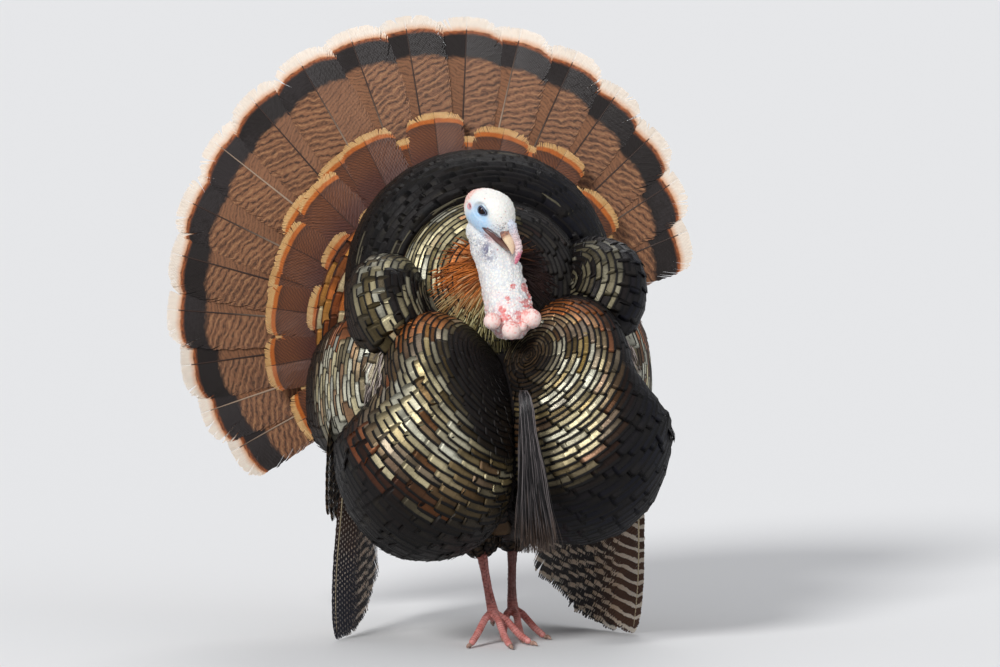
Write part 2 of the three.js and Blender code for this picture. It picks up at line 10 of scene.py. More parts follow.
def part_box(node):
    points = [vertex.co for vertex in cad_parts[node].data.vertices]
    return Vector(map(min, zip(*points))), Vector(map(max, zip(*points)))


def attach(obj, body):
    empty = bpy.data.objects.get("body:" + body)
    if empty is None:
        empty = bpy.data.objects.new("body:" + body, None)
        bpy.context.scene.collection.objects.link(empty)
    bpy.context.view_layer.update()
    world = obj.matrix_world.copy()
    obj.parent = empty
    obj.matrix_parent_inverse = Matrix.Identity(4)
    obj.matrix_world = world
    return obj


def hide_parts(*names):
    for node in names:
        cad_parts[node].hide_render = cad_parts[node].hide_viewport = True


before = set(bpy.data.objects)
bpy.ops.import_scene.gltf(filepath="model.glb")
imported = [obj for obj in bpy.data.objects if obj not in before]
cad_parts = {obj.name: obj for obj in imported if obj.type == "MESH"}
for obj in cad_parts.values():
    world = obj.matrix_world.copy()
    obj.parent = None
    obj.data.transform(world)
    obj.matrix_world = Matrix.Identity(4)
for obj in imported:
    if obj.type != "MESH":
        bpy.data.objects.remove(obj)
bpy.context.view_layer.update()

MM = 0.001
rng = np.random.default_rng(41)

# ---- places
# The figure's own measures are in millimetres from the point under its pivot, as the solids were drawn.
HEAD_AT = (-15, -138, 564)
HEAD_YAW = math.radians(38)
HEAD_PITCH = math.radians(38)


def middle(node):
    low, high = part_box(node)
    return (low + high) / 2


SHIFT = np.array((middle("eye_left") + middle("eye_right")) / 2) - np.array(HEAD_AT) * MM


def put(points):
    """Millimetres of the figure's own measures, to metres in the shared frame."""
    return np.asarray(points, float) * MM + SHIFT


def measured(points):
    """Metres in the shared frame, to the figure's own millimetres."""
    return (np.asarray(points) - SHIFT) / MM


HEAD_FORWARD = np.array([
    math.sin(HEAD_YAW) * math.cos(HEAD_PITCH),
    -math.cos(HEAD_YAW) * math.cos(HEAD_PITCH),
    -math.sin(HEAD_PITCH),
])
HEAD_RIGHT = np.array([-math.cos(HEAD_YAW), -math.sin(HEAD_YAW), 0.0])
HEAD_UP = np.cross(HEAD_RIGHT, HEAD_FORWARD)
HEAD_AXES = np.array([HEAD_FORWARD, HEAD_RIGHT, HEAD_UP])


def in_head(points):
    """The figure's millimetres from the head's own ahead, right and up."""
    return np.asarray(points, float) @ HEAD_AXES + np.array(HEAD_AT)


def unit(vectors):
    return vectors / np.maximum(np.linalg.norm(vectors, axis=-1, keepdims=True), 1e-9)


def step(low, high, value):
    t = np.clip((value - low) / (high - low), 0, 1)
    return t * t * (3 - 2 * t)


def fall(low, high, value):
    return 1 - step(low, high, value)


def circle(count):
    """The cosines and sines of even steps round a full turn."""
    turn = np.linspace(0, 2 * math.pi, count, False)
    return np.cos(turn), np.sin(turn)


def lerp(a, b, t):
    return a + (b - a) * t


def colour(red, green, blue):
    """A linear colour from the usual 0 to 255 values."""
    return np.array([(c / 255 / 12.92) if c <= 10 else ((c / 255 + 0.055) / 1.055) ** 2.4 for c in (red, green, blue)])


def columns(*values):
    """Rows made of values side by side."""
    return np.stack(values, axis=1)


def hump(*off):
    """1 in the middle, where every distance is 0, and smoothly down to 0 round it."""
    return np.exp(-sum(distance ** 2 for distance in off))


def rough_noise(points, size, seed):
    """Smooth noise from -1 to 1 at points in millimetres, with blobs of the given size."""
    return np.array([noise.noise(Vector(p) / size + Vector((seed, seed * 1.7, -seed))) for p in points])


# ---- shader maths
class Value:
    """An output socket. Its operators add Math nodes to the same tree."""

    def __init__(self, finish, socket):
        self.finish = finish
        self.socket = socket

    def math(self, operation, *operands):
        return self.finish.node("ShaderNodeMath", {"operation": operation}, dict(enumerate(operands)))

    def __add__(self, other):
        return self.math("ADD", self, other)

    def __radd__(self, other):
        return self.math("ADD", other, self)

    def __sub__(self, other):
        return self.math("SUBTRACT", self, other)

    def __rsub__(self, other):
        return self.math("SUBTRACT", other, self)

    def __mul__(self, other):
        return self.math("MULTIPLY", self, other)

    def __rmul__(self, other):
        return self.math("MULTIPLY", other, self)

    def __truediv__(self, other):
        return self.math("DIVIDE", self, other)

    def sine(self):
        return self.math("SINE", self)

    def size(self):
        return self.math("ABSOLUTE", self)

    def clamped(self):
        return self.math("MINIMUM", self.math("MAXIMUM", self, 0.0), 1.0)

    def between(self, low, high):
        """Rises smoothly from 0 at low to 1 at high."""
        settings = {"interpolation_type": "SMOOTHSTEP"}
        return self.finish.node("ShaderNodeMapRange", settings, {0: self, 1: low, 2: high, 3: 0.0, 4: 1.0})


class Finish:
    """A material or a world, with one method that makes any node in it."""

    def __init__(self, name, kind=bpy.data.materials):
        self.material = kind.new(name)
        self.material.use_nodes = True
        self.tree = self.material.node_tree
        self.tree.nodes.clear()

    def node(self, kind, settings=None, inputs=None, output=0):
        made = self.tree.nodes.new(kind)
        for key, setting in (settings or {}).items():
            setattr(made, key, setting)
        for key, value in (inputs or {}).items():
            self.plug(made.inputs[key], value)
        return made if output is None else Value(self, made.outputs[output])

    def plug(self, socket, value):
        if isinstance(value, Value):
            self.tree.links.new(value.socket, socket)
        elif isinstance(value, (tuple, list, np.ndarray)):
            tone = tuple(float(v) for v in value)
            socket.default_value = tone + (1.0,) if socket.type == "RGBA" and len(tone) == 3 else tone
        else:
            socket.default_value = value

    def attribute(self, name, output="Fac"):
        return self.node("ShaderNodeAttribute", {"attribute_name": name}, output=output)

    def parts(self, whole):
        """The three parts of a vector, or of the attribute with a name."""
        vector = self.attribute(whole, "Vector") if isinstance(whole, str) else whole
        split = self.node("ShaderNodeSeparateXYZ", {}, {0: vector}, output=None)
        return [Value(self, socket) for socket in split.outputs]

    def vector(self, x, y, z):
        return self.node("ShaderNodeCombineXYZ", {}, {0: x, 1: y, 2: z})

    def place(self):
        return self.node("ShaderNodeTexCoord", output="Object")

    def mix(self, a, b, factor):
        return self.node("ShaderNodeMix", {"data_type": "RGBA"}, {0: factor, 6: a, 7: b}, output=2)

    def tinted(self, tone, strength):
        """A colour made lighter or darker by a number that varies."""
        return self.node("ShaderNodeVectorMath", {"operation": "SCALE"}, {0: tone, 3: strength})

    def clouds(self, size, detail=3.0, vector=None, roughness=0.5):
        """Noise about 0 with blobs of a size in metres."""
        return self.node("ShaderNodeTexNoise", {}, {
            "Vector": vector or self.place(), "Scale": 1 / size, "Detail": detail, "Roughness": roughness}) - 0.5

    def cells(self, size, feature="F1", output="Distance"):
        return self.node("ShaderNodeTexVoronoi", {"feature": feature}, {
            "Vector": self.place(), "Scale": 1 / size}, output=output)

    def bump(self, height, distance, strength=1.0):
        return self.node("ShaderNodeBump", {}, {"Height": height, "Distance": distance, "Strength": strength})

    def surface(self, **inputs):
        shader = self.node("ShaderNodeBsdfPrincipled", {}, {k.replace("_", " "): v for k, v in inputs.items()})
        self.node("ShaderNodeOutputMaterial", {}, {"Surface": shader}, output=None)
        return self.material


# ---- meshes
def placed(name, mesh, smooth):
    """A mesh's own object in the scene."""
    mesh.polygons.foreach_set("use_smooth", np.full(len(mesh.polygons), smooth))
    made = bpy.data.objects.new(name, mesh)
    bpy.context.scene.collection.objects.link(made)
    return made


def mesh_object(name, points, faces, smooth=True):
    """An object from points and each face's corners."""
    mesh = bpy.data.meshes.new(name)
    counts = np.array([len(face) for face in faces])
    corners = np.concatenate(faces)
    mesh.vertices.add(len(points))
    mesh.vertices.foreach_set("co", np.asarray(points, np.float32).ravel())
    mesh.loops.add(len(corners))
    mesh.loops.foreach_set("vertex_index", corners.astype(np.int32))
    mesh.polygons.add(len(counts))
    mesh.polygons.foreach_set("loop_start", np.concatenate([[0], np.cumsum(counts)[:-1]]).astype(np.int32))
    mesh.update(calc_edges=True)
    return placed(name, mesh, smooth)


def from_form(name, form, smooth=True):
    """An object of a bmesh, which is freed."""
    mesh = bpy.data.meshes.new(name)
    form.to_mesh(mesh)
    form.free()
    return placed(name, mesh, smooth)


def taken(form):
    """The points and faces of a bmesh, which is freed."""
    points = np.array([v.co[:] for v in form.verts])
    faces = [[v.index for v in face.verts] for face in form.faces]
    form.free()
    return points, faces


def tube_faces(levels, around):
    """The faces of a closed tube whose points run ring by ring."""
    faces = [[around * k + j, around * k + (j + 1) % around, around * (k + 1) + (j + 1) % around, around * (k + 1) + j]
             for k in range(levels - 1) for j in range(around)]
    return faces + [list(range(around))[::-1], [around * (levels - 1) + j for j in range(around)]]


def copies(faces, size, count):
    """The same faces for each of many pieces that have size points each."""
    return [[corner + size * i for corner in face] for i in range(count) for face in faces]


def rings_about(spine, radius, side, other, around):
    """A ring of points about each place of a spine, in the plane of two axes."""
    cosine, sine = circle(around)
    return spine[..., None, :] + radius[..., None, None] * (
        side[..., None, :] * cosine[:, None] + other[..., None, :] * sine[:, None])


def give(made, name, values):
    """A number, vector or colour for each point of a mesh."""
    values = np.asarray(values, np.float32)
    kinds = {1: ("FLOAT", "value"), 3: ("FLOAT_VECTOR", "vector"), 4: ("FLOAT_COLOR", "color")}
    kind, field = kinds[1 if values.ndim == 1 else values.shape[1]]
    layer = made.data.attributes.new(name, kind, "POINT")
    layer.data.foreach_set(field, values.ravel())


def give_map(made, corner_uv):
    layer = made.data.uv_layers.new(name="OFBake")
    layer.data.foreach_set("uv", np.asarray(corner_uv, np.float32).ravel())


def corners_of(made):
    corner = np.zeros(len(made.data.loops), np.int32)
    made.data.loops.foreach_get("vertex_index", corner)
    return corner


def read(made, field):
    """Each point's place (co) or normal, as an array."""
    values = np.zeros(len(made.data.vertices) * 3, np.float32)
    made.data.vertices.foreach_get(field, values)
    return values.reshape(-1, 3).astype(float)


def set_points(made, points):
    made.data.vertices.foreach_set("co", np.asarray(points, np.float32).ravel())
    made.data.update()


def keep(made, material, slot, *nodes):
    made.data.materials.clear()
    made.data.materials.append(material)
    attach(made, "root")
    if nodes:
        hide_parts(*nodes)
    return made


def copied(names, grow=0.0):
    """A bmesh of merged copies of CAD nodes, each pushed out by an amount."""
    whole = bmesh.new()
    for name in names:
        piece = bmesh.new()
        piece.from_mesh(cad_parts[name].data)
        bmesh.ops.remove_doubles(piece, verts=piece.verts, dist=1e-5)
        bmesh.ops.recalc_face_normals(piece, faces=piece.faces)
        piece.normal_update()
        for vertex in piece.verts:
            vertex.co += vertex.normal * grow
        part = bpy.data.meshes.new(name)
        piece.to_mesh(part)
        whole.from_mesh(part)
        piece.free()
        bpy.data.meshes.remove(part)
    return whole


def soften(made, times):
    smooth = made.modifiers.new("smooth", "SMOOTH")
    smooth.factor = 0.5
    smooth.iterations = times
    settle(made)


def shell(name, whole, voxel, smoothing):
    """One closed surface round all the bodies of a bmesh, smoothed."""
    made = from_form(name, whole)
    remesh = made.modifiers.new("remesh", "REMESH")
    remesh.mode = "VOXEL"
    remesh.voxel_size = voxel
    remesh.use_smooth_shade = True
    soften(made, smoothing)
    return made


def settle(made):
    """Applies an object's modifiers to its mesh."""
    evaluated = made.evaluated_get(bpy.context.evaluated_depsgraph_get())
    fresh = bpy.data.meshes.new_from_object(evaluated)
    made.modifiers.clear()
    old = made.data
    made.data = fresh
    bpy.data.meshes.remove(old)


def tree_of(made):
    mesh = made.data
    return BVHTree.FromPolygons([v.co[:] for v in mesh.vertices], [p.vertices[:] for p in mesh.polygons])


# ---- skin under the feathers
COAT_DEPTH = 9 * MM
OVERLAP = 1 * MM
FEATHERED = [
    "breast_left", "breast_right", "shoulder_left", "shoulder_right", "neck_ruff", "mantle", "rump", "trunk",
    "undertail", "wing_coverts_left", "wing_coverts_right", "thigh_left", "thigh_right", "tail_base",
]


def body_shell():
    made = shell("skin", copied(FEATHERED, OVERLAP), 9 * MM, 4)
    points = read(made, "co")
    set_points(made, points - read(made, "normal") * (COAT_DEPTH + OVERLAP))
    soften(made, 3)
    return made


body = body_shell()


def flesh_tree():
    """A tree of the feathered CAD nodes, and the node that each of its faces is part of."""
    points, faces, owner = [], [], []
    for name in FEATHERED:
        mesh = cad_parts[name].data
        first = len(points)
        points += [v.co[:] for v in mesh.vertices]
        faces += [[first + i for i in p.vertices] for p in mesh.polygons]
        owner += [name] * len(mesh.polygons)
    return BVHTree.FromPolygons(points, faces), owner


owner_tree, face_owner = flesh_tree()


# ---- small feathers
# Where the cross-sections of a small feather lie along it: close together at the tip, which shows.
STOPS = np.array([0.0, 0.32, 0.55, 0.7, 0.8, 0.87, 0.93, 0.975, 1.0])
TUFT_PATCH = 0.003               # how wide a feather's patch is on the OFBake map


def feather_prototype(around):
    """A closed thin vane. Gives each point's ring, how far across it is and its side, then the faces."""
    form = bmesh.new()
    bmesh.ops.create_circle(form, cap_ends=False, segments=around, radius=1)
    bmesh.ops.spin(form, geom=form.verts[:] + form.edges[:], cent=(0, 0, 0), axis=(0, 0, 1),
                   dvec=(0, 0, 1), angle=0, steps=len(STOPS) - 1)
    bmesh.ops.holes_fill(form, edges=form.edges, sides=around)
    bmesh.ops.rotate(form, verts=form.verts, cent=(0, 0, 0), matrix=Matrix.Rotation(math.radians(-90), 3, "X"))
    bmesh.ops.recalc_face_normals(form, faces=form.faces)
    places, faces = taken(form)
    ring = np.rint(places[:, 1]).astype(int)
    return ring, places[:, 0], places[:, 2], faces


PROTOTYPES = {around: feather_prototype(around) for around in (4, 8)}


def tangents(normals, directions):
    return unit(directions - normals * np.sum(directions * normals, axis=1, keepdims=True))


def marched(tree, roots, normals, directions, lengths):
    """Each feather's line over the skin: places and normals at every stop."""
    places = np.zeros((len(roots), len(STOPS), 3))
    facing = np.zeros_like(places)
    for i in range(len(roots)):
        place = Vector(roots[i])
        normal = Vector(normals[i])
        way = Vector(directions[i])
        places[i, 0] = place
        facing[i, 0] = normal
        for k in range(1, len(STOPS)):
            ahead = place + way * float((STOPS[k] - STOPS[k - 1]) * lengths[i])
            found, face_normal, _, _ = tree.find_nearest(ahead)
            place = found.lerp(ahead, 0.25)
            normal = normal.lerp(face_normal, 0.45).normalized()
            way = (way - normal * way.dot(normal)).normalized()
            places[i, k] = place
            facing[i, k] = normal
    return places, facing


def round_map(points, centre):
    """Where points lie on an unwrap of the skin about a centre: an eight-sided map, from 0 to 1."""
    way = points - centre
    way = way / np.sum(np.abs(way), axis=1, keepdims=True)
    x, y = way[:, 0].copy(), way[:, 2].copy()
    behind = way[:, 1] > 0
    folded_x = (1 - np.abs(y)) * np.where(x >= 0, 1, -1)
    folded_y = (1 - np.abs(x)) * np.where(y >= 0, 1, -1)
    x = np.where(behind, folded_x, x)
    y = np.where(behind, folded_y, y)
    return columns(x, y) * 0.485 + 0.5


def lay_coat(name, slot, found, tint, rim, sheen, around=8, lap=1.22, rise=8.8, edge=0.33, loose=0.03, stray=0.02,
             roll=0.022, loose_roll=0.006, blunt=0.95, point=1.0, slope=0.2, camber=0.026, ragged=0.006, bow=0.02):
    """One joined mesh of small feathers, each with its colour, its rim's colour and its sheen.

    lap is a feather's width over the room it has, rise its tip's height in millimetres, and edge how much of what
    shows is rim. loose, stray, loose_roll and ragged say how far feathers differ from one another."""
    roots, normals, directions = found["root"], found["normal"], found["way"]
    count = len(roots)
    ring, across, side_up, faces = PROTOTYPES[around]
    length = found["length"] * MM * rng.uniform(1 - loose, 1 + loose, count)
    half = lap * found["pitch"] / 2 * MM * rng.uniform(1 - loose, 1 + loose, count)
    turn = rng.normal(0, stray, count)[:, None]
    directions = unit(directions + np.cross(directions, normals) * turn)
    places, facing = marched(found["tree"], roots, normals, directions, length)
    along = np.gradient(places, axis=1)
    sideways = unit(np.cross(along, facing))
    rolls = roll + rng.normal(0, loose_roll, count)
    sideways = unit(sideways + facing * rolls[:, None, None])
    t = STOPS[ring]
    wide = np.where(STOPS < 0.7, lerp(0.35, 1.0, step(-0.1, 0.7, STOPS)), 1.0)
    wide = wide * lerp(1.0, blunt, step(0.88, 1.0, STOPS)) * lerp(1.0, point, step(0.5, 1.0, STOPS))
    tall = rise * MM * rng.uniform(1 - loose, 1 + loose, count)
    base = np.maximum(0.4 * MM, tall - slope * length)
    height = base[:, None] + (tall - base)[:, None] * STOPS[None, :] ** 1.2
    arch = camber * 2 * half[:, None] * (1 - across ** 2)[None, :]
    thick = np.where(side_up < -0.1, -0.35, 0.0) * MM
    uneven = rng.normal(0, ragged, (count, len(ring))) * (t > 0.99)
    push = bow * (1 - across ** 2) - bow
    bend = found["bend"][:, None] * MM * (across ** 2)[None, :]
    stretch = ((push[None, :] * (t > 0.9) + uneven) * length[:, None] - bend)[:, :, None]
    points = (
        places[:, ring]
        + sideways[:, ring] * (across * wide[ring])[None, :, None] * half[:, None, None]
        + facing[:, ring] * (height[:, ring] + arch + thick[None, :])[:, :, None]
        + unit(along)[:, ring] * stretch
    )
    size = len(ring)
    made = mesh_object(name, points.reshape(-1, 3), copies(faces, size, count))

    def each(tone, extra):
        whole = np.concatenate([tone + np.zeros((count, 1)), (extra * np.ones(count))[:, None]], axis=1)
        return np.repeat(whole, size, axis=0)

    rim_at = 1 - edge * found["row"] / found["length"] * rng.uniform(0.85, 1.15, count)
    give(made, "tint", each(tint, np.clip(sheen, 0, 1)))
    give(made, "rim", each(rim, rng.uniform(0, 1, count)))
    vane = np.stack([np.tile(across, (count, 1)), np.tile(t, (count, 1)), np.repeat(rim_at[:, None], size, 1)], 2)
    give(made, "vane", vane.reshape(-1, 3))
    # On the OFBake map the vane and its rim have a patch each, side by side.
    at = round_map(roots, found["centre"])
    flat_corner = np.concatenate(faces)
    in_rim = np.repeat([min(t[face]) > 0.9 for face in faces], [len(face) for face in faces])
    local = np.stack([
        across[flat_corner] * 0.5 + 0.5 + in_rim * 1.25,
        np.where(in_rim, step(0.86, 1.0, t[flat_corner]), np.clip(t[flat_corner] - 0.5, 0, 0.5) * 2),
    ], axis=1) * TUFT_PATCH
    give_map(made, (at[:, None, :] + local[None, :, :]).reshape(-1, 2))
    keep(made, PLUMAGE, slot)


def pole_frame(axis):
    axis = unit(np.asarray(axis, float))
    first = unit(np.cross(axis, [0.0, 0.0, 1.0] if abs(axis[2]) < 0.9 else [0.0, 1.0, 0.0]))
    return axis, first, np.cross(axis, first)


def ray(tree, centre, way):
    hit, normal, _, _ = tree.ray_cast(Vector(centre), Vector(way))
    return (np.array(hit), np.array(normal)) if hit is not None else (None, None)


def guide(centre, half, power=2.0, turn=(0, 0, 0), inset=8.5, crest=0, front=None, narrow=0.0):
    """A smooth lobe for a tract of feathers to be laid on, a coat's depth inside the solid's own."""
    form = bmesh.new()
    bmesh.ops.create_icosphere(form, subdivisions=6, radius=1)
    way, faces = taken(form)
    way = unit(way)
    way = way * np.sum(np.abs(way) ** power, axis=1, keepdims=True) ** (-1 / power)
    if crest:
        outer = 1 - 0.48 * step(-0.15, 0.45, way[:, 2])
        way[:, 0] *= np.where(way[:, 0] * crest > 0, outer, 1 - 0.13 * step(0.2, 1.0, way[:, 2]))
    x, y, z = (math.radians(angle) for angle in turn)
    spin = Matrix.Rotation(x, 3, "X") @ Matrix.Rotation(y, 3, "Y") @ Matrix.Rotation(z, 3, "Z")
    points = (way * (np.array(half) - inset)) @ np.array(spin).T + np.array(centre)
    if narrow:
        behind = (points[:, 1] - centre[1]) / half[1]
        points[:, 0] = centre[0] + (points[:, 0] - centre[0]) * (1 - narrow * step(-0.35, 0.75, behind))
    if front is not None:
        points[:, 1] = np.where(points[:, 1] < front, front + 0.1 * (points[:, 1] - front), points[:, 1])
    return {"tree": BVHTree.FromPolygons([tuple(p) for p in put(points)], faces), "centre": centre, "inset": inset}


# How far off the solids, in millimetres, a feather may root: over its own tract, or under a neighbour's.
OWN_GAP, OTHER_GAP = 9.0, 7.0
TRAITS = ("root", "normal", "way", "length", "row", "pitch", "bend")


def gathered(feathers, tree, centre):
    """A tract's feathers as one array for each trait, with the surface that they lie on."""
    found = {trait: np.array(values) for trait, values in zip(TRAITS, zip(*feathers))}
    return {**found, "tree": tree, "centre": centre}


def ringed(on, pole, owners, rows, pitches, reach, cover=3.7, first=3.0, last=900, centre=None, jitter=0.04):
    """Feathers in rings about a pole, their tips evenly spaced over the surface and evenly round each ring.

    rows and pitches give the rings' spacing and the feathers' places in them, near the pole and at the reach.
    A tract runs on a little way under its neighbours, so that no root shows."""
    centre, pole = put(centre or on["centre"]), put(pole)
    tree = on["tree"]
    axis, east, north = pole_frame(pole - centre)
    thetas, phis = np.radians(np.linspace(0.2, 179, 150)), np.linspace(0, 2 * math.pi, 73)

    def way_at(theta, phi):
        return axis * math.cos(theta) + (east * math.cos(phi) + north * math.sin(phi)) * math.sin(theta)

    grid = np.array([[tree.ray_cast(Vector(centre), Vector(way_at(theta, phi)))[0] for theta in thetas]
                     for phi in phis])
    steps = np.linalg.norm(np.diff(grid, axis=1), axis=2) / MM
    run = np.concatenate([np.zeros((len(phis), 1)), np.cumsum(steps, axis=1)], axis=1)
    feathers = []
    tip, number = first, 0
    while tip < min(last, run[:, -1].max()):
        grown = min(1.0, tip / reach) ** 0.7
        row, pitch = lerp(*rows, grown), lerp(*pitches, grown)
        begin = max(0.5, tip - cover * row)
        ring_theta = np.array([np.interp(begin, run[i], thetas) for i in range(len(phis))])
        ring = np.array([[np.interp(tip, run[i], grid[i, :, k]) for k in range(3)] for i in range(len(phis))])
        around = np.concatenate([[0], np.cumsum(np.linalg.norm(np.diff(ring, axis=0), axis=1))]) / MM
        count = max(5, int(around[-1] / pitch))
        phase = 0.5 * (number % 2) + rng.uniform(-0.2, 0.2)
        for j in range(count):
            along = (j + phase + rng.uniform(-jitter, jitter)) % count / count * around[-1]
            phi = float(np.interp(along, around, phis))
            theta = float(np.interp(along, around, ring_theta))
            hit, normal = ray(tree, centre, way_at(theta, phi))
            _, _, face, gap = owner_tree.find_nearest(Vector(hit + normal * on["inset"] * MM))
            if gap > (OWN_GAP if face_owner[face] in owners else OTHER_GAP) * MM:
                continue
            ahead = ray(tree, centre, way_at(min(theta + 0.03, 3.12), phi))[0]
            feathers.append((hit, normal, unit(ahead - hit), tip - begin + rng.uniform(-jitter, jitter) * row, row,
                             around[-1] / count, (around[-1] / count) ** 2 / 8 / max(tip, 12.0)))
        tip += row
        number += 1
    found = gathered(feathers, tree, centre)
    found["way"] = tangents(found["normal"], found["way"])
    return found


def sown(found, pole=(0, 0, 0)):
    """Each feather's place and its distance from a pole, in millimetres, then two random numbers."""
    at = measured(found["root"])
    random, other = rng.uniform(0, 1, (2, len(at)))
    return at, *at.T, np.linalg.norm(at - np.array(pole), axis=1), random, other


def blended(*layers):
    """Tones laid over one another: a first tone, then pairs of tone and strength for each feather."""
    result = np.array(layers[0], float)[None, :]
    for tone, strength in layers[1:]:
        result = result + (np.asarray(tone)[None, :] - result) * np.clip(strength, 0, 1)[:, None]
    return result


def plumage():
    """Glossy body feathers: a metallic vane with fine barbs and a velvet rim, with painted highlight and shade on
    each.
    """
    f = Finish("plumage")
    tint = f.attribute("tint", "Color")
    sheen = f.attribute("tint", "Alpha")
    rim = f.attribute("rim", "Color")
    seed = f.attribute("rim", "Alpha")
    across, along, rim_at = f.parts("vane")
    waver = f.clouds(0.004, 2.0)
    edge = (along + waver * 0.03).between(rim_at - 0.012, rim_at + 0.02)
    barbs = ((along * 70.0 - across.size() * 16.0 + waver * 3.0) * 6.0).sine()
    streak = f.clouds(0.0016, 2.0)
    shown = 0.7 - (rim_at - along) / (1.0 - rim_at) * 0.3
    # Painted highlight and shade: each exposed band is brightest partway down, darker under the row above and towards
    # its rim.
    painted_band_shading = 1.12 - (shown.math("MAXIMUM", shown, 0.0) - 0.3).size().between(0.1, 0.6) * 0.5
    shade = painted_band_shading + barbs * 0.12 + streak * 0.6 + (seed - 0.5) * 0.3
    # Painted shade: each feather darker towards both of its sides.
    sides = across.size().between(0.72, 1.05)
    # Painted shade: each feather darker towards one side, picked at random, as if turned away from the light.
    turned = (across * (seed * 4.0 - 2.0) + waver).between(-0.3, 1.1)
    tone = f.mix(tint, f.mix(f.tinted(tint, 0.35), colour(54, 48, 36), 0.35), turned * 0.62)
    base = f.tinted(f.mix(tone, f.tinted(tint, 0.45), sides * 0.45), shade)
    edged = f.mix(base, f.tinted(rim, 1.0 + streak * 0.6), edge)
    shaft = 1.0 - across.size().between(0.015, 0.05)
    whole = f.mix(edged, f.tinted(edged, 0.6), shaft * 0.5)
    height = barbs * 0.12 + streak * 0.6 + shaft * 0.4
    return f.surface(
        Base_Color=whole,
        Metallic=sheen * (1.0 - edge * 0.8),
        Roughness=0.3 + edge * 0.2 + streak * 0.2 + (1.0 - sheen) * 0.12,
        Normal=f.bump(height, 0.0006, 0.5),
        Specular_IOR_Level=0.22,
    )


PLUMAGE = plumage()

BLACK = colour(9, 8, 9)
BLUE_BLACK = colour(12, 14, 27)
SOOT = colour(32, 26, 24)
BRONZE = colour(104, 80, 50)
OLIVE = colour(128, 116, 78)
CREAM = colour(226, 214, 172)
SILVER = colour(206, 206, 190)
COPPER = colour(196, 104, 50)
FLAME = colour(222, 128, 58)
GOLD = colour(206, 168, 84)
CHESTNUT = colour(140, 78, 36)
RUST = colour(134, 70, 36)
COPPER_BROWN = colour(112, 66, 42)

# Stiff hair-like feathers, unlike the broad squared ones that lay_coat makes otherwise.
HAIR = {"around": 4, "lap": 1.35, "blunt": 0.8, "point": 0.3, "edge": 0.4, "slope": 0.08, "roll": 0.0, "camber": 0.1}


def breast(side, sign):
    """Broad squared feathers in long arcs about the foot of the neck, small near it and large below."""
    on = guide((sign * 96, -112, 283 + sign * 9), (119, 158, 160), 2.25, (-8, 0, sign * 7), crest=sign)
    pole = (-9, -212, 392) if side == "right" else (12, -212, 398)
    found = ringed(on, pole, {f"breast_{side}"}, (3.4, 11.5), (12, 44), 230)
    at, x, _, z, away, random, other = sown(found, pole)
    angle = np.degrees(np.arctan2(z - pole[2], sign * (x - pole[0])))
    patch = rough_noise(at, 38, 3.1 + sign)
    streaks = rough_noise(at, 22, 9.2)
    # The lit band's inner and outer edges, in millimetres from the pole, change with the angle about it.
    if side == "right":
        marks = [-100, -80, -60, -30, 0, 20, 40]
        inner = np.interp(angle, marks, [128, 120, 102, 78, 66, 58, 52])
        outer = np.interp(angle, marks, [150, 152, 168, 176, 128, 114, 100])
        dark = step(outer + 6, outer + 52, away)
        amber = step(outer - 30, outer - 6, away) * fall(outer + 22, outer + 50, away) * step(-78, -58, angle)
        olive = step(-50, -70, angle) * step(outer - 20, outer + 6, away) * fall(outer + 30, outer + 60, away)
        peak = step(2, 14, angle) * step(60, 74, away) * fall(110, 125, away)
    else:
        marks = [-100, -75, -60, -30, 0, 20, 60]
        inner = np.interp(angle, marks, [60, 56, 44, 36, 30, 26, 30])
        outer = np.interp(angle, marks, [140, 146, 140, 104, 80, 70, 60])
        dark = step(outer - 8, outer + 26, away)
        amber = step(outer - 26, outer - 4, away) * fall(outer + 10, outer + 34, away) * step(-78, -45, angle)
        olive = 0.35 * step(-50, -72, angle) * step(120, 150, away) * fall(190, 215, away)
        peak = step(10, 24, angle) * step(30, 44, away) * fall(84, 100, away)
    # Painted highlight: cream and silver ribbons make the lit band. Beyond it the feathers are dark, partly their own
    # black and partly painted shade.
    lit = step(inner - 12, inner + 16, away) * fall(outer - 18, outer + 18, away)
    # Painted shade: low on the left lobe, beside the beard, the lit band is dimmed.
    painted_beard_shade = 1 - 0.75 * step(-66, -84, angle) * (side == "left")
    bright = lit * painted_beard_shade * np.clip(-0.04 + 1.0 * random + 1.1 * streaks, 0, 1)
    # The left lobe is the shaded one: painted shade gives it soot on some feathers inside the lit band and blue-black
    # beyond it.
    tint = blended(
        lerp(BLACK, SOOT, 0.8),
        (lerp(BRONZE, OLIVE, 0.4), 0.8 * lit),
        (lerp(OLIVE, BRONZE, 0.6), olive * (0.45 + 0.4 * random)),
        (lerp(BRONZE, SOOT, 0.25), 0.55 * random * (sign > 0) * (1 - lit) * step(8, 20, away) * (angle < 40)
         * fall(inner, inner + 20, away)),
        (CREAM, bright),
        (SILVER, bright * (other > 0.6) * 0.8),
        (GOLD, 0.3 * lit * (other < 0.12)),
        (COPPER_BROWN, lit * step(0.12, 0.36, patch) * (other > 0.4) * 0.6),
        (lerp(COPPER_BROWN, SOOT, 0.3), amber * (0.2 + 0.4 * random)),
        (COPPER, amber * (other > 0.9) * 0.45),
        (CREAM, amber * (other < 0.12) * 0.6),
        (FLAME, peak * (0.4 + 0.45 * random)),
        (lerp(SOOT, BLACK, 0.5), dark * 0.93),
        (BLUE_BLACK, (sign > 0) * step(outer + 6, outer + 60, away) * 0.85),
    )
    sheen = 0.22 + 0.5 * np.clip(lit + 0.6 * olive + 0.7 * amber, 0, 1)
    lay_coat(f"breast_coat_{side}", "breast_coat", found, tint, blended(BLACK, (SOOT, 0.3 * random)), sheen)


def kept(found, test):
    """Only the feathers of a tract that pass a test."""
    return {key: values if key in ("tree", "centre") else values[test] for key, values in found.items()}


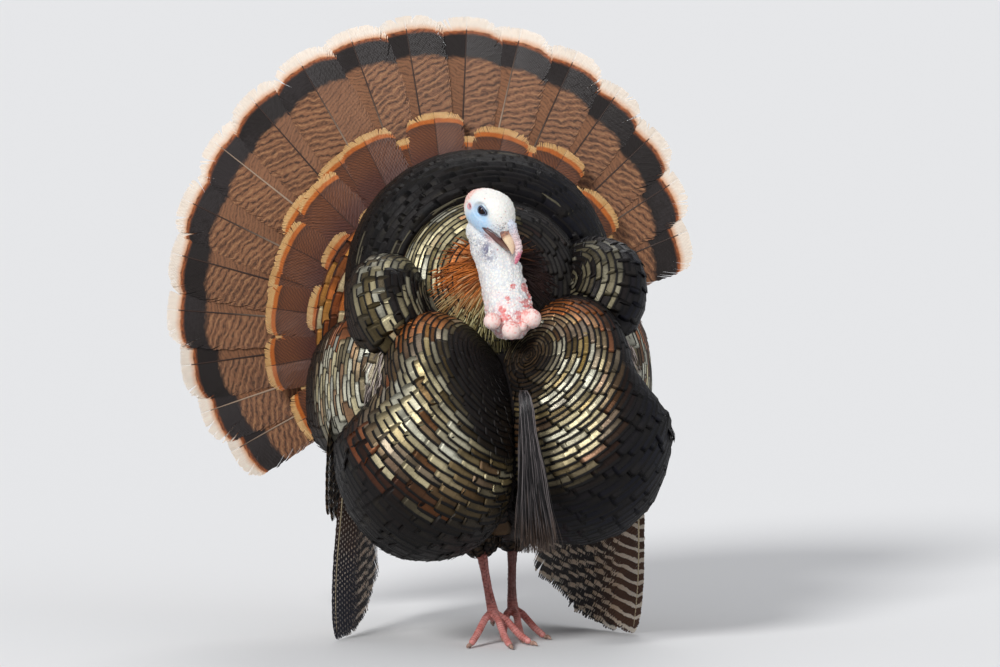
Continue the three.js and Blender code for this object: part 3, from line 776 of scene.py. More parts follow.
def ruff():
    """Arcs round the bare neck: hair-like hackles close to it, and banded ribbons further out."""
    on = guide((0, -54, 448), (123, 94, 126), 2.1, (-14, 0, 0))
    ribbons = ringed(on, (-6, -150, 478), {"neck_ruff"}, (5.4, 7.6), (16, 32), 110, centre=(-4, -50, 470))
    at = measured(ribbons["root"])
    ribbons = kept(ribbons, np.hypot(at[:, 0] + 6, at[:, 2] - 478) > 30)
    at, x, _, z, _, random, other = sown(ribbons)
    away = np.hypot(x + 6, z - 478)
    patch = rough_noise(at, 26, 5.5)
    far = step(36, 50, away)
    low = fall(448, 474, z)
    shaded = step(-4, 22, x)
    tint = blended(
        lerp(RUST, BRONZE, 0.4),
        (FLAME, (1 - far) * (0.2 + 0.5 * random)),
        (lerp(OLIVE, SOOT, 0.3), far),
        (CREAM, far * np.clip(1.5 * random - 0.35 + 0.5 * patch, 0, 1)),
        (SILVER, far * (other > 0.75) * 0.6),
        (FLAME, far * step(0.1, 0.35, patch) * (z > 500) * (0.3 + 0.5 * other)),
        (lerp(BLACK, SOOT, 0.7), low * 0.92),
        (lerp(SOOT, BLUE_BLACK, 0.5), shaded * 0.97),
    )
    sheen = 0.5 - 0.25 * shaded
    lay_coat("ruff_coat", "gold_coat", ribbons, tint, blended(BLACK, (SOOT, 0.4 * random)), sheen,
             edge=0.3, lap=1.2, rise=7.6)

    hackles = ringed(on, (-6, -150, 478), {"neck_ruff"}, (3.0, 4.2), (1.5, 1.9), 80,
                     cover=7.5, centre=(-4, -50, 470), jitter=0.35)
    x, _, z = measured(hackles["root"]).T
    reach = 46 + 10 * (x < 0) + 18 * fall(425, 470, z) * (x < 20) - 12 * step(490, 520, z)
    hackles = kept(hackles, np.hypot(x + 6, z - 478) < reach)
    drooped = hackles["way"] + np.array([0.0, 0.0, -0.75]) + rng.normal(0, 0.16, (len(hackles["way"]), 3))
    hackles["way"] = tangents(hackles["normal"], drooped)
    at, x, _, z, _, random, other = sown(hackles)
    low = fall(440, 478, z + 8 * rough_noise(at, 14, 2.2))
    foot = fall(412, 430, z)
    shaded = step(-2, 18, x)
    tint = blended(
        lerp(RUST, FLAME, 0.45),
        (FLAME, 0.8 * (random > 0.5)),
        (lerp(FLAME, CREAM, 0.5), 0.8 * (random > 0.88)),
        (RUST, 0.8 * (random < 0.14)),
        (colour(150, 136, 84), low),
        (colour(222, 214, 164), low * np.clip(other * 1.6 - 0.5, 0, 1)),
        (colour(76, 64, 44), low * (other < 0.16) * 0.8),
        (SOOT, foot * 0.8),
        (lerp(SOOT, BLUE_BLACK, 0.5), shaded * 0.97),
    )
    lay_coat("hackle_coat", "gold_coat", hackles, tint, tint * 1.25, 0.3, **HAIR,
             stray=0.1, loose=0.2, rise=8.0, loose_roll=0.25)


def back():
    """The raised black back, turning to copper and gold towards the tail."""
    on = guide((4, 50, 446), (175, 121, 184), 2.15, (8, 0, 0), front=-33)
    for name, owners, slot in (("mantle_coat", {"mantle"}, "dark_coat"), ("rump_coat", {"rump"}, "rump_coat")):
        found = ringed(on, (4, -90, 452), owners, (7.5, 9), (26, 36), 160, cover=4.2, first=80)
        x, y, _ = measured(found["root"]).T
        random = rng.uniform(0, 1, len(x))
        behind = step(58, 84, y)
        # Painted shade: blue-black grows towards the back's left side, the shaded one.
        shadow_side_blue = step(-20, 120, x)
        tint = blended(
            BLACK,
            (SOOT, 0.5 * random),
            (BLUE_BLACK, 0.75 * shadow_side_blue),
            (COPPER, behind * 0.85),
            (GOLD, behind * 0.7 * random),
            (CREAM, behind * (random > 0.72) * 0.7),
        )
        rim = blended(lerp(BLACK, SOOT, 0.35), (BLACK, behind),
                      (lerp(SOOT, CREAM, 0.3), 0.4 * (random > 0.96) * (1 - behind)))
        lay_coat(name, slot, found, tint, rim, 0.35 + 0.25 * behind, edge=0.24, lap=1.3, roll=0.012)


def shoulder(side, sign):
    """The scapular lobe: squared feathers in upright arcs, pale inside and dark outside."""
    on = guide((sign * 131, -60, 436 + sign * 9), (58, 98, 76), 2.2, (-12, sign * 10, sign * 14))
    pole = (sign * 88, -128, 470 + sign * 9)
    found = ringed(on, pole, {f"shoulder_{side}"}, (4.5, 9.5), (14, 36), 100)
    _, _, _, z, away, random, other = sown(found, pole)
    if side == "right":
        lit = 0.35 * (random > 0.5) * step(8, 20, away) + 0.75 * step(38, 54, away)
        lit = np.clip(lit * fall(66, 82, away), 0, 1)
    else:
        lit = 0.38 * step(4, 12, away) * fall(36, 50, away) * (1 - 0.5 * step(440, 470, z)) * (random > 0.35)
    tip = fall(372, 402, z - sign * 9) * step(14, 34, away)
    # Painted highlight: the lit feathers. The left lobe is the shaded one: painted shade gives it fewer of them and
    # turns it blue-black nearer its pole.
    tint = blended(
        lerp(SOOT, BLACK, 0.2),
        (lerp(OLIVE, BRONZE, 0.3), 0.7 * lit),
        (CREAM, lit * np.clip(1.6 * random - 0.45, 0, 1)),
        (SILVER, lit * (other > 0.66) * 0.6),
        (lerp(BRONZE, SOOT, 0.6), 0.5 * step(70, 100, away) * (sign < 0)),
        (FLAME, tip * (0.3 + 0.6 * random) * (sign < 0)),
        (BLUE_BLACK, 0.85 * np.where(sign < 0, step(84, 116, away), step(40, 64, away))),
    )
    lay_coat(f"shoulder_coat_{side}", "gold_coat", found, tint, blended(BLACK, (SOOT, 0.4 * random)),
             0.3 + 0.35 * lit, edge=0.24)


def wing_cover(side, sign):
    """Wing coverts: upright rows of squared feathers, and a silvery hair-like patch against the breast."""
    on = guide((sign * 160, -10, 338 + sign * 9), (57, 138, 92), 2.3, (-14, sign * -4, sign * -9), inset=6.5)
    pole = (sign * 112, -104, 352 + sign * 9)
    owners = {f"wing_coverts_{side}"}
    found = ringed(on, pole, owners, (4.5, 9.0), (14, 30), 120, first=50)
    _, _, _, z, away, random, other = sown(found, pole)
    lit = step(46, 70, away) * fall(112, 140, away)
    fine = step(34, 46, away) * fall(58, 72, away)
    tint = blended(
        lerp(BRONZE, SOOT, 0.6),
        (CREAM, lit * np.clip(1.5 * random - 0.1, 0, 1)),
        (SILVER, lit * (other > 0.5) * 0.7),
        (SILVER, fine * (other > 0.6) * 0.7),
        (COPPER, 0.8 * step(376, 400, z) * (random > 0.4) * lit),
        (RUST, 0.6 * lit * (other < 0.16)),
        (SOOT, 0.85 * step(116, 150, away)),
        (BLUE_BLACK, 0.5 * step(140, 220, away)),
    )
    lay_coat(f"wing_coat_{side}", "gold_coat", found, tint, blended(BLACK, (SOOT, 0.4 * random)), 0.35 + 0.3 * lit,
             edge=0.24, rise=7.0)
    found = ringed(on, pole, owners, (3.0, 4.2), (1.8, 2.4), 70, cover=7, jitter=0.35, first=16, last=110)
    away = np.linalg.norm(measured(found["root"]) - np.array(pole), axis=1)
    found = kept(found, away < np.percentile(away, 4) + 36)
    hanging = 0.45 * found["way"] + np.array([-0.35 * sign, 0.0, -1.0]) + rng.normal(0, 0.08, (len(found["way"]), 3))
    found["way"] = tangents(found["normal"], hanging)
    random = rng.uniform(0, 1, len(found["row"]))
    tint = blended(lerp(SILVER, colour(206, 178, 178), 0.6), (CREAM, 0.6 * (random > 0.7)),
                   (SOOT, 0.75 * (random < 0.3)))
    lay_coat(f"silver_coat_{side}", "gold_coat", found, tint, tint * 0.7, 0.35, **HAIR,
             stray=0.08, loose=0.15, rise=7.0, loose_roll=0.2)


def flanks():
    """The duller feathers of belly, flanks, thighs and rear."""
    dull = {"loose": 0.06, "stray": 0.05, "blunt": 0.8, "bow": 0.06}
    on = guide((3, 20, 290), (176, 186, 166), 2.2, (4, 0, 0), narrow=0.4)
    trunk = ringed(on, (3, -120, 300), {"trunk"}, (11, 15), (22, 34), 200, first=90)
    random = rng.uniform(0, 1, len(trunk["root"]))
    lay_coat("flank_coat", "body_down", trunk, blended(SOOT, (BRONZE, 0.5 * random)), BLACK, 0.25, **dull)
    on = guide((2, 228, 334), (136, 92, 130), 2.2, (12, 0, 0))
    rear = ringed(on, (2, 200, 210), {"undertail"}, (12, 16), (22, 32), 200, cover=4.0, first=20)
    at = measured(rear["root"])
    random = rng.uniform(0, 1, len(at))
    high = step(240, 420, at[:, 2])
    tint = blended(lerp(SOOT, CHESTNUT, 0.25), (CHESTNUT, high * 0.75), (BRONZE, 0.3 * random))
    rim = blended(lerp(SOOT, BRONZE, 0.4), (colour(196, 140, 84), high * 0.9))
    lay_coat("undertail_coat", "body_down", rear, tint, rim, 0.12, **dull)
    for side, centre in (("left", (42, 22, 152)), ("right", (-13, -34, 152))):
        on = guide(centre, (34, 42, 46), inset=6.0)
        thigh = ringed(on, (centre[0], centre[1], 260), {f"thigh_{side}"}, (6, 7), (9, 11), 80)
        random = rng.uniform(0, 1, len(thigh["root"]))
        lay_coat(f"thigh_coat_{side}", "body_down", thigh, blended(SOOT, (BRONZE, 0.35 * random)), BLACK, 0.1,
                 around=4, stray=0.1, blunt=0.6, bow=0.1, rise=6.5, lap=1.3, loose=0.12)


SIDES = (("left", 1), ("right", -1))
for flank in SIDES:
    breast(*flank)
    shoulder(*flank)
    wing_cover(*flank)
ruff()
back()
flanks()


# ---- quills of the fan and wings
BARB_STOPS = np.array([0.0, 0.3, 0.55, 0.75, 0.9, 1.0])
BARB_THICK = 0.55
OUTLINE_POINTS = 600


def outline_of(length, half_width, count):
    """A vane's edge from its base round to its tip, as points at even steps along it."""
    t = np.concatenate([np.linspace(0, 0.85, 60), 1 - 0.15 * (1 - np.linspace(0, 1, 90)) ** 2])
    edge = columns(np.append(half_width(t), 0.2), np.append(t, 1.004) * length)
    run = np.concatenate([[0], np.cumsum(np.linalg.norm(np.diff(edge, axis=0), axis=1))])
    even = np.linspace(0, run[-1], count)
    return columns(np.interp(even, run, edge[:, 0]), np.interp(even, run, edge[:, 1])), run[-1]


def vane(length, half_width, side, look):
    """One side of a quill's vane as closed barbs: points (across, along, ahead) by barb, stop and corner."""
    fine, total = outline_of(length, half_width, OUTLINE_POINTS)
    tip_share = min(0.5, 1.25 * half_width(0.8) / total)
    coarse, dense = look["barbs"]
    q = np.concatenate([np.linspace(0.02, 1 - tip_share, coarse, False), np.linspace(1 - tip_share, 1, dense, False)])
    width = np.diff(np.append(q, 1.0))
    q = q + width / 2
    shift = np.zeros(len(q))
    for _ in range(look["splits"]):
        at = rng.uniform(0.5, 0.97)
        push = rng.uniform(0.003, 0.009) * np.exp(-np.abs(q - at) / 0.022)
        shift += np.sign(q - at) * push
    ends = []
    for edge in (-0.56, 0.56, 0.0):
        place = np.clip(q + (shift if edge == 0 else 0) + width * edge, 0, 1) * (OUTLINE_POINTS - 1)
        low = np.minimum(place.astype(int), OUTLINE_POINTS - 2)
        ends.append(lerp(fine[low], fine[low + 1], (place - low)[:, None]))
    part = (ends.pop() - (ends[0] + ends[1]) / 2)[:, None] * (BARB_STOPS ** 5)[None, :, None]
    grow = 1 + rng.normal(0, look["uneven"], len(q)) - 0.012
    thin = np.clip(rng.normal(look["taper"], 0.12, len(q)), 0.1, 0.75)
    stations = np.zeros((len(q), len(BARB_STOPS), 3, 3))
    rails = []
    for end in ends:
        start = np.minimum(end[:, 1] - look["slant"] * end[:, 0], length * 0.962)
        start = np.maximum(start, 0.0)
        a = columns(np.full(len(q), 0.3), start)
        b = a + (end - a) * grow[:, None]
        c = columns(0.62 * b[:, 0], a[:, 1] + 0.36 * (b[:, 1] - a[:, 1]))
        s = BARB_STOPS[None, :, None]
        rails.append((1 - s) ** 2 * a[:, None] + 2 * s * (1 - s) * c[:, None] + s ** 2 * b[:, None])
    centre = (rails[0] + rails[1]) / 2
    pinch = 1 - thin[:, None] * step(0.72, 1.0, BARB_STOPS)[None, :] ** 1.5
    pinch[:, 0] = 0.9
    for k, (rail, deep) in enumerate(zip(rails, (0.14, -0.14))):
        stations[:, :, k, :2] = centre + part + (rail - centre) * pinch[:, :, None]
        stations[:, :, k, 2] = deep
    stations[:, :, 2, :2] = centre + part
    stations[:, :, 2, 2] = -BARB_THICK * (1 - 0.6 * BARB_STOPS[None, :] ** 2)
    stations[:, :, :, 2] += rng.normal(0, 0.10, len(q))[:, None, None] * BARB_STOPS[None, :, None]
    stations[..., 0] *= side
    return stations


def barb_faces(barbs, side):
    """Faces of closed three-sided barbs, whose points run station by station."""
    levels = len(BARB_STOPS)
    return copies([face[::-side] for face in tube_faces(levels, 3)], 3 * levels, barbs)


def shaft_points(length, root, tip):
    """A quill's tapered shaft: rings of five points."""
    levels, around = 9, 5
    t = np.linspace(0, 0.955, levels)
    radius = lerp(root, tip, t ** 0.8)
    cosine, sine = circle(around)
    points = np.zeros((levels, around, 3))
    points[..., 0] = radius[:, None] * cosine
    points[..., 1] = (t * length)[:, None]
    points[..., 2] = radius[:, None] * sine * 0.8 + 0.1
    return points.reshape(-1, 3), [face[::-1] for face in tube_faces(levels, around)]


def lay_quills(name, quills, finish, slot, nodes):
    """A joined mesh of quills. Each has its length, half-widths, look and grade, and rules for its place and tip."""
    points, faces, places, traits, maps = [], [], [], [], []
    first = 0
    for number, quill in enumerate(quills):
        length, look = quill["length"], quill["look"]
        widest = max(float(np.max(w(np.linspace(0, 1, 50)))) for w in quill["halves"])
        parts = []
        for side, half_width in zip((-1, 1), quill["halves"]):
            stations = vane(length, half_width, side, look)
            parts.append((stations.reshape(-1, 3), barb_faces(len(stations), side)))
        parts.append(shaft_points(length, *look["shaft"]))
        seed = rng.uniform(0, 1)
        for kind, (local, corner) in enumerate(parts):
            points.append(quill["place"](local))
            faces += [[c + first for c in face] for face in corner]
            drop = quill["tip"](local[:, 0])
            places.append(columns(local[:, 0], local[:, 1], drop - local[:, 1]))
            traits.append(np.tile([seed, float(kind == 2), quill["grade"]], (len(local), 1)))
            u = (number + 0.5 + local[:, 0] / widest * 0.45) / len(quills)
            maps.append(columns(u, np.clip(local[:, 1] / length * 0.97 + 0.01, 0, 1)))
            first += len(local)
    made = mesh_object(name, put(np.concatenate(points)), faces, smooth=False)
    give(made, "place", np.concatenate(places))
    give(made, "trait", np.concatenate(traits))
    give_map(made, np.concatenate(maps)[corners_of(made)])
    return keep(made, finish, slot, *nodes)


# The fan's dished surface.
FAN_PIVOT = np.array([0, 196, 380])
FAN_ROOT, FAN_LONG, FAN_SHORT = 68, 419, 336
FAN_FEATHERS = 18
FAN_EDGE = (FAN_FEATHERS - 1) / 2
FAN_STEP = math.radians(184) / (2 * FAN_EDGE)


def fan_point(radius, angle, ahead):
    """A place on the dished fan, so far from its pivot, at an angle from its middle and so far ahead of it."""
    turned = math.radians(115) - angle
    reach = radius / FAN_LONG
    lean = 0.17 * np.abs(np.sin(angle)) ** 1.5 * reach
    return np.stack([
        radius * np.cos(turned),
        FAN_PIVOT[1] - radius * lean + 18 * reach ** 2 - ahead,
        FAN_PIVOT[2] + radius * np.sin(turned),
    ], axis=-1)


def on_fan(local, angle, half, arch, ahead):
    """Where a tail quill's own points (across, along, ahead) lie on the fan, arched across by an amount."""
    radius = FAN_ROOT + local[:, 1]
    off = np.arcsin(np.clip(local[:, 0] / radius, -1, 1))
    return fan_point(radius, angle + off, local[:, 2] + ahead - arch * (local[:, 0] / half) ** 2)


def rounded_end(t, begin, reach, power):
    u = np.clip((t - begin) / reach, 0, 1)
    return (1 - u ** power) ** (1 / power)


def fan_quill(place):
    """One of the fan's quills. Its place is counted from the fan's middle."""
    half = 48.0
    outness = abs(place) / FAN_EDGE
    length = lerp(FAN_LONG, FAN_SHORT, outness ** 2.2) - FAN_ROOT + rng.uniform(-3, 3)
    angle = place * FAN_STEP + rng.normal(0, 0.006)
    back = (abs(place) - 0.5 + (1 if place > 0 else 0)) * 2.1
    twist = rng.normal(0, 0.012)

    def half_width(t):
        return lerp(4, half, step(-0.15, 0.85, t) ** 0.9) * rounded_end(t, 0.885, 0.118, 3.0)

    def laid(local):
        arch = 2.6 * step(0.2, 1.0, local[:, 1] / length)
        return on_fan(local, angle, half, arch, local[:, 0] * twist - back)

    def tip(across):
        return length * (0.885 + 0.118 * (1 - np.clip(np.abs(0.84 * across / half), 0, 1) ** 3.0) ** (1 / 3.0))

    look = {"barbs": (56, 24), "splits": 4 if outness < 0.9 else 1, "shaft": (2.6, 0.6), "uneven": 0.016,
            "slant": 1.25, "taper": 0.34 if outness < 0.9 else 0.05}
    return {"length": length, "halves": (half_width, half_width), "look": look, "place": laid, "tip": tip,
            "grade": float(place)}


def quill_marks(name, wave, grain, drawn_out=1.0):
    """A quill's finish, its place in it and two noises about 0, the fine one drawn out along the barbs."""
    f = Finish(name)
    x, y, tip = f.parts("place")
    seed, shaft, grade = f.parts("trait")
    spot = f.vector(x * MM, y * MM, seed)
    waver = f.clouds(wave, 2.0, spot)
    fine = f.clouds(grain, 3.0, f.vector(x * (drawn_out * MM), y * MM, seed), 0.6)
    return f, x, y, tip, seed, shaft, grade, spot, waver, fine


def fan_finish():
    """Brown quills with wavy dark bars, a black band and a pale frayed edge."""
    f, x, y, tip, seed, shaft, grade, spot, waver, fine = quill_marks("tail_fan", 0.016, 0.0022, 0.35)
    blotch = f.clouds(0.045, 2.0, spot)
    strong = (x * grade.math("SIGN", grade) * 0.2).between(-1.0, 1.0)
    lines = ((y - x.size() * 0.42) / 8.5 * (2 * math.pi) + waver * 11.0 + seed * 6.0).sine()
    close = ((y - x.size() * 0.42) / 4.6 * (2 * math.pi) + waver * 14.0).sine()
    brown = f.mix(colour(128, 86, 60), colour(154, 106, 74), blotch + 0.5)
    brown = f.mix(brown, colour(70, 47, 36), (fine * 2.8 + close * 0.5 + 0.1).clamped() * 0.65)
    barred = f.mix(brown, colour(50, 35, 30), (lines + fine * 4.0).between(0.2, 1.2) * (0.14 + 0.5 * strong))
    barred = f.mix(barred, colour(188, 138, 96), (0.0 - lines + fine * 3.0).between(0.4, 1.2) * (0.12 + 0.45 * strong))
    ragged = tip + waver * 7.0 + fine * 9.0
    black = f.mix(colour(34, 27, 25), colour(52, 46, 46), (seed + blotch + fine).between(0.5, 1.0) * 0.7)
    banded = f.mix(barred, black, 1.0 - ragged.between(50.0, 57.0))
    rusty = f.mix(banded, f.mix(colour(176, 96, 50), colour(60, 38, 30), (fine * 3.0 + 0.3).clamped()),
                  1.0 - (tip + waver * 3.0).between(20.0, 25.0))
    pale = f.mix(colour(250, 236, 220), colour(226, 164, 116), (tip + waver * 5.0).between(10.0, 21.0))
    edged = f.mix(rusty, pale, 1.0 - (tip + waver * 3.0 + fine * 2.5).between(17.0, 20.0))
    hair = f.clouds(0.0011, 2.0, f.vector(x * MM, y * (0.12 * MM), seed))
    barb_line = ((y - x.size() * 1.1) * 2.6).sine()
    whole = f.tinted(edged, 1.0 + barb_line * 0.07 + hair * 0.35 + (seed - 0.5) * 0.12)
    quill_tone = f.mix(colour(60, 42, 34), colour(176, 152, 130), (seed + (tip - 150.0) * 0.002).between(0.55, 0.85))
    whole = f.mix(whole, quill_tone, shaft)
    return f.surface(
        Base_Color=whole,
        Roughness=0.5 + fine * 0.2 - (tip.between(20.0, 24.0) - tip.between(50.0, 57.0)) * 0.12,
        Specular_IOR_Level=0.35,
        Sheen_Weight=0.15,
        Normal=f.bump(barb_line * 0.5 + hair, 0.0005, 0.5),
    )


SQUARENESS = 3.4                 # how square a covert's end is: 2 would be round


def covert_quill(angle, reach, half, ahead, grade):
    """A tail covert that lies on the fan, some way ahead of it."""
    length = reach - FAN_ROOT

    def half_width(t):
        return lerp(8, half, step(-0.3, 0.8, t)) * rounded_end(t, 0.90, 0.101, SQUARENESS)

    def laid(local):
        t = local[:, 1] / length
        return on_fan(local, angle, half, 4.0 * step(0.1, 0.9, t), ahead * lerp(1.25, 0.85, t))

    def tip(across):
        inside = np.clip(np.abs(0.9 * across / half), 0, 1)
        return length * (0.90 + 0.101 * (1 - inside ** SQUARENESS) ** (1 / SQUARENESS))

    look = {"barbs": (30, 22), "splits": 3, "shaft": (1.6, 0.4), "uneven": 0.02, "taper": 0.4, "slant": 1.1}
    return {"length": length, "halves": (half_width, half_width), "look": look, "place": laid, "tip": tip,
            "grade": grade}


def covert_finish():
    """Chestnut coverts, finely barred, with a bright orange line and a buff frayed edge."""
    f, x, y, tip, seed, shaft, grade, _, waver, fine = quill_marks("tail_coverts", 0.014, 0.0018)
    close = ((y - x.size() * 0.5) / 3.4 * (2 * math.pi) + waver * 10.0).sine()
    barb_line = ((y - x.size() * 1.1) * 2.4).sine()
    ribs = ((y - x.size() * 1.1) / 5.2 * (2 * math.pi) + waver * 6.0).sine()
    body = f.mix(colour(122, 72, 44), colour(96, 56, 46), (tip + waver * 20.0).between(30.0, 70.0))
    body = f.mix(body, colour(52, 34, 30), (close * 0.5 + fine * 1.5 + 0.1).clamped() * 0.6)
    body = f.mix(body, colour(44, 29, 27), ribs.between(0.45, 0.95) * 0.55)
    body = f.mix(body, colour(58, 38, 30), (1.0 - (tip + waver * 4.0).between(15.0, 24.0)) * 0.35)
    bright = f.mix(body, f.mix(colour(214, 120, 46), colour(176, 88, 34), fine * 1.6 + waver + 0.5),
                   1.0 - (tip + waver * 2.0).between(12.5, 15.0))
    pale = f.mix(colour(228, 190, 132), colour(206, 148, 84), (fine * 1.4 + 0.5 + waver).clamped())
    edged = f.mix(bright, pale, 1.0 - (tip + waver * 2.0 + fine * 2.0).between(6.5, 9.5))
    edged = f.mix(edged, f.tinted(edged, 0.82), grade.clamped() * 0.5)
    whole = f.tinted(edged, 1.0 + barb_line * 0.09 + fine * 0.2 + (seed - 0.5) * 0.15)
    whole = f.mix(whole, colour(70, 44, 32), shaft)
    return f.surface(
        Base_Color=whole,
        Roughness=0.46 + fine * 0.2,
        Specular_IOR_Level=0.4,
        Sheen_Weight=0.1,
        Normal=f.bump(barb_line * 0.6 + fine, 0.0006, 0.5),
    )


# The tail's rows of coverts: each row's number, its spread in degrees, its reach at the middle and at the ends, its
# half-width and how far it stands ahead of the fan. Then how unevenly they reach, the narrowest, and their grade.
COVERT_ROWS = {
    "long": (((10, 168, 277, 236, 36, 14.0), (11, 186, 287, 246, 37, 17.5)), (-16, 7), 0.88, 0.0),
    "short": (((11, 180, 196, 178, 27, 27.0), (10, 192, 208, 190, 30, 31.0)), (-9, 5), 0.9, 1.0),
}


def tail():
    """The fan's quills in three groups, then four rows of coverts over their foot."""
    finish = fan_finish()
    for group, name in enumerate(("fan_left", "fan_middle", "fan_right")):
        numbers = range(group * 6, group * 6 + 6)
        lay_quills(name, [fan_quill(i - FAN_EDGE) for i in numbers], finish, "tail_quills",
                   [f"tail_feather_{i + 1:02d}" for i in numbers])
    orange = covert_finish()
    for name, (rows, uneven, narrowest, grade) in COVERT_ROWS.items():
        quills = []
        for count, spread, middle_reach, end_reach, half, ahead in rows:
            for place in np.linspace(-1, 1, count):
                reach = lerp(middle_reach, end_reach, place ** 2) + rng.uniform(*uneven)
                quills.append(covert_quill(
                    math.radians(spread / 2) * place + rng.normal(0, 0.02), reach,
                    half * rng.uniform(narrowest, 1.08), ahead - abs(place) * 2.5 + rng.uniform(-0.3, 0.3), grade))
        lay_quills(f"{name}_coverts", quills, orange, "rump_coat", [f"tail_coverts_{name}"])


RING_SPREAD = math.radians(226)
RING_FEATHER = {"length": 42.0, "row": 9.0, "bend": 1.0}


def gold_ring():
    """Glossy gold and copper feathers that ring the back, where it meets the fan."""
    def sheet(radius, angle):
        return put(fan_point(np.asarray(radius, float), angle, lerp(62, 33, (radius - 120) / 90)))

    radii, angles = np.linspace(70, 260, 30), np.radians(np.linspace(-125, 125, 90))
    wide = len(angles)
    faces = [[i * wide + j, i * wide + j + 1, (i + 1) * wide + j + 1, (i + 1) * wide + j]
             for i in range(len(radii) - 1) for j in range(wide - 1)]
    points = sheet(*np.meshgrid(radii, angles, indexing="ij")).reshape(-1, 3)
    feathers = []
    for radius in (158, 149, 140, 131, 122, 113):
        count = int(RING_SPREAD * (radius + 34) / 30)
        phase = rng.uniform(0, 1)
        for j in range(count):
            angle = RING_SPREAD * ((j + phase + rng.uniform(-0.05, 0.05)) / count - 0.5)
            at = radius - 10 * (angle / 2) ** 2 + rng.uniform(-0.5, 0.5)
            root = sheet(at, angle)
            way = unit(sheet(at + 4, angle) - sheet(at - 4, angle))
            normal = unit(np.cross(way, sheet(at, angle + 0.05) - root))
            feathers.append((root, normal if normal[1] < 0 else -normal, way, RING_FEATHER["length"],
                             RING_FEATHER["row"], RING_SPREAD * (at + 40) / count, RING_FEATHER["bend"]))
    tree = BVHTree.FromPolygons([tuple(p) for p in points], faces)
    found = gathered(feathers, tree, put((0, 150, 380)))
    random, other = sown(found)[-2:]
    tint = blended(
        colour(158, 88, 42),
        (FLAME, random * 0.4),
        (GOLD, (other > 0.6) * 0.35),
        (CREAM, (other > 0.8) * 0.7),
        (RUST, (random < 0.35) * 0.85),
        (SOOT, (other < 0.12) * 0.6),
    )
    lay_coat("ring_coat", "rump_coat", found, tint, blended(BLACK, (RUST, 0.6 * random)), 0.4,
             edge=0.2, lap=1.2, rise=7.0, ragged=0.02)


# Each wing hangs beside the body as a standing sheet from a front corner to a rear one.
WING_FRONT = np.array([200.0, -60.0])
WING_ALONG = np.array([-82.0, 232.0])
WING_RUN = float(np.hypot(*WING_ALONG))
WING_OUT = np.array([232.0, 82.0]) / WING_RUN


def wing_quill(sign, t, top, tip_z, lead, trail, outset, turn, slant, grade, look):
    """A hanging quill: its narrow vane leads and its broad one trails, turned a little towards the front."""
    length = top - tip_z

    def leading(s):
        return lead * step(-0.2, 0.3, s) * rounded_end(s, 0.86, 0.141, 2.0)

    def trailing(s):
        return trail * step(-0.3, 0.35, s) * rounded_end(s, 0.84, 0.161, 2.2)

    def laid(local):
        h = local[:, 1] / length
        across = local[:, 0] if sign > 0 else -local[:, 0]
        rear = across * math.cos(turn)
        inward = across * math.sin(turn) + 1.5 * (across / 30) ** 2
        along = t * WING_RUN + rear
        bulge = outset(t, h) - inward + local[:, 2]
        x = WING_FRONT[0] + WING_ALONG[0] / WING_RUN * along + WING_OUT[0] * bulge
        y = WING_FRONT[1] + WING_ALONG[1] / WING_RUN * along + WING_OUT[1] * bulge + slant * h * (1 - t) ** 2
        z = top - local[:, 1]
        return columns(sign * x, y, z)

    def tip(across):
        return np.full(len(across), length)

    halves = (leading, trailing) if sign > 0 else (trailing, leading)
    return {"length": length, "halves": halves, "look": look, "place": laid, "tip": tip, "grade": grade}


def wing_finish(name, white, dark, size, stacked=False):
    """Dark quills with pale bars, and on stacked ones' leading quills columns of dashes in their place."""
    f, x, y, tip, seed, shaft, grade, _, waver, fine = quill_marks(name, 0.020, 0.002)
    bars = ((y + x.size() * 0.35) / size * (2 * math.pi) + waver * 5.0 + seed * 6.0).sine()
    pale = (bars + fine * 1.1 + waver).between(0.35, 0.7)
    ground = f.mix(dark, colour(86, 58, 42), (grade + waver).clamped())
    ground = f.tinted(ground, 1.0 + fine * 0.6)
    light = f.mix(white, colour(196, 166, 134), (x.size() * 0.02 + waver).clamped())
    if stacked:
        column = (x.size() + waver * 3.0) / 5.2
        number = column.math("FLOOR", column)
        within = column - number
        dash = (y / 7.0 * (2 * math.pi) + number * 2.2 + fine * 2.0 + waver * 8.0).sine().between(0.1, 0.6)
        high = (tip + waver * 40.0 - x.size()).between(10.0, 110.0)
        dash = dash * within.between(0.55, 0.7) * (0.35 + high).clamped()
        front = grade.between(0.1, 0.3)
        pale = pale * (1.0 - front) + dash * front
        ground = f.mix(ground, colour(17, 20, 40), front * (1.0 - (tip + waver * 40.0).between(80.0, 170.0)))
        ground = f.tinted(ground, 1.0 + front * (within * 0.75 - 0.45))
    whole = f.mix(ground, light, pale)
    barb_line = ((y - x.size()) * 2.4).sine()
    whole = f.tinted(whole, 1.0 + barb_line * 0.08)
    whole = f.mix(whole, f.mix(colour(40, 32, 30), colour(214, 196, 160), grade.clamped()), shaft)
    return f.surface(
        Base_Color=whole,
        Roughness=0.48 + fine * 0.2,
        Specular_IOR_Level=0.4,
        Normal=f.bump(barb_line * 0.6 + fine * 0.6, 0.0006, 0.5),
    )


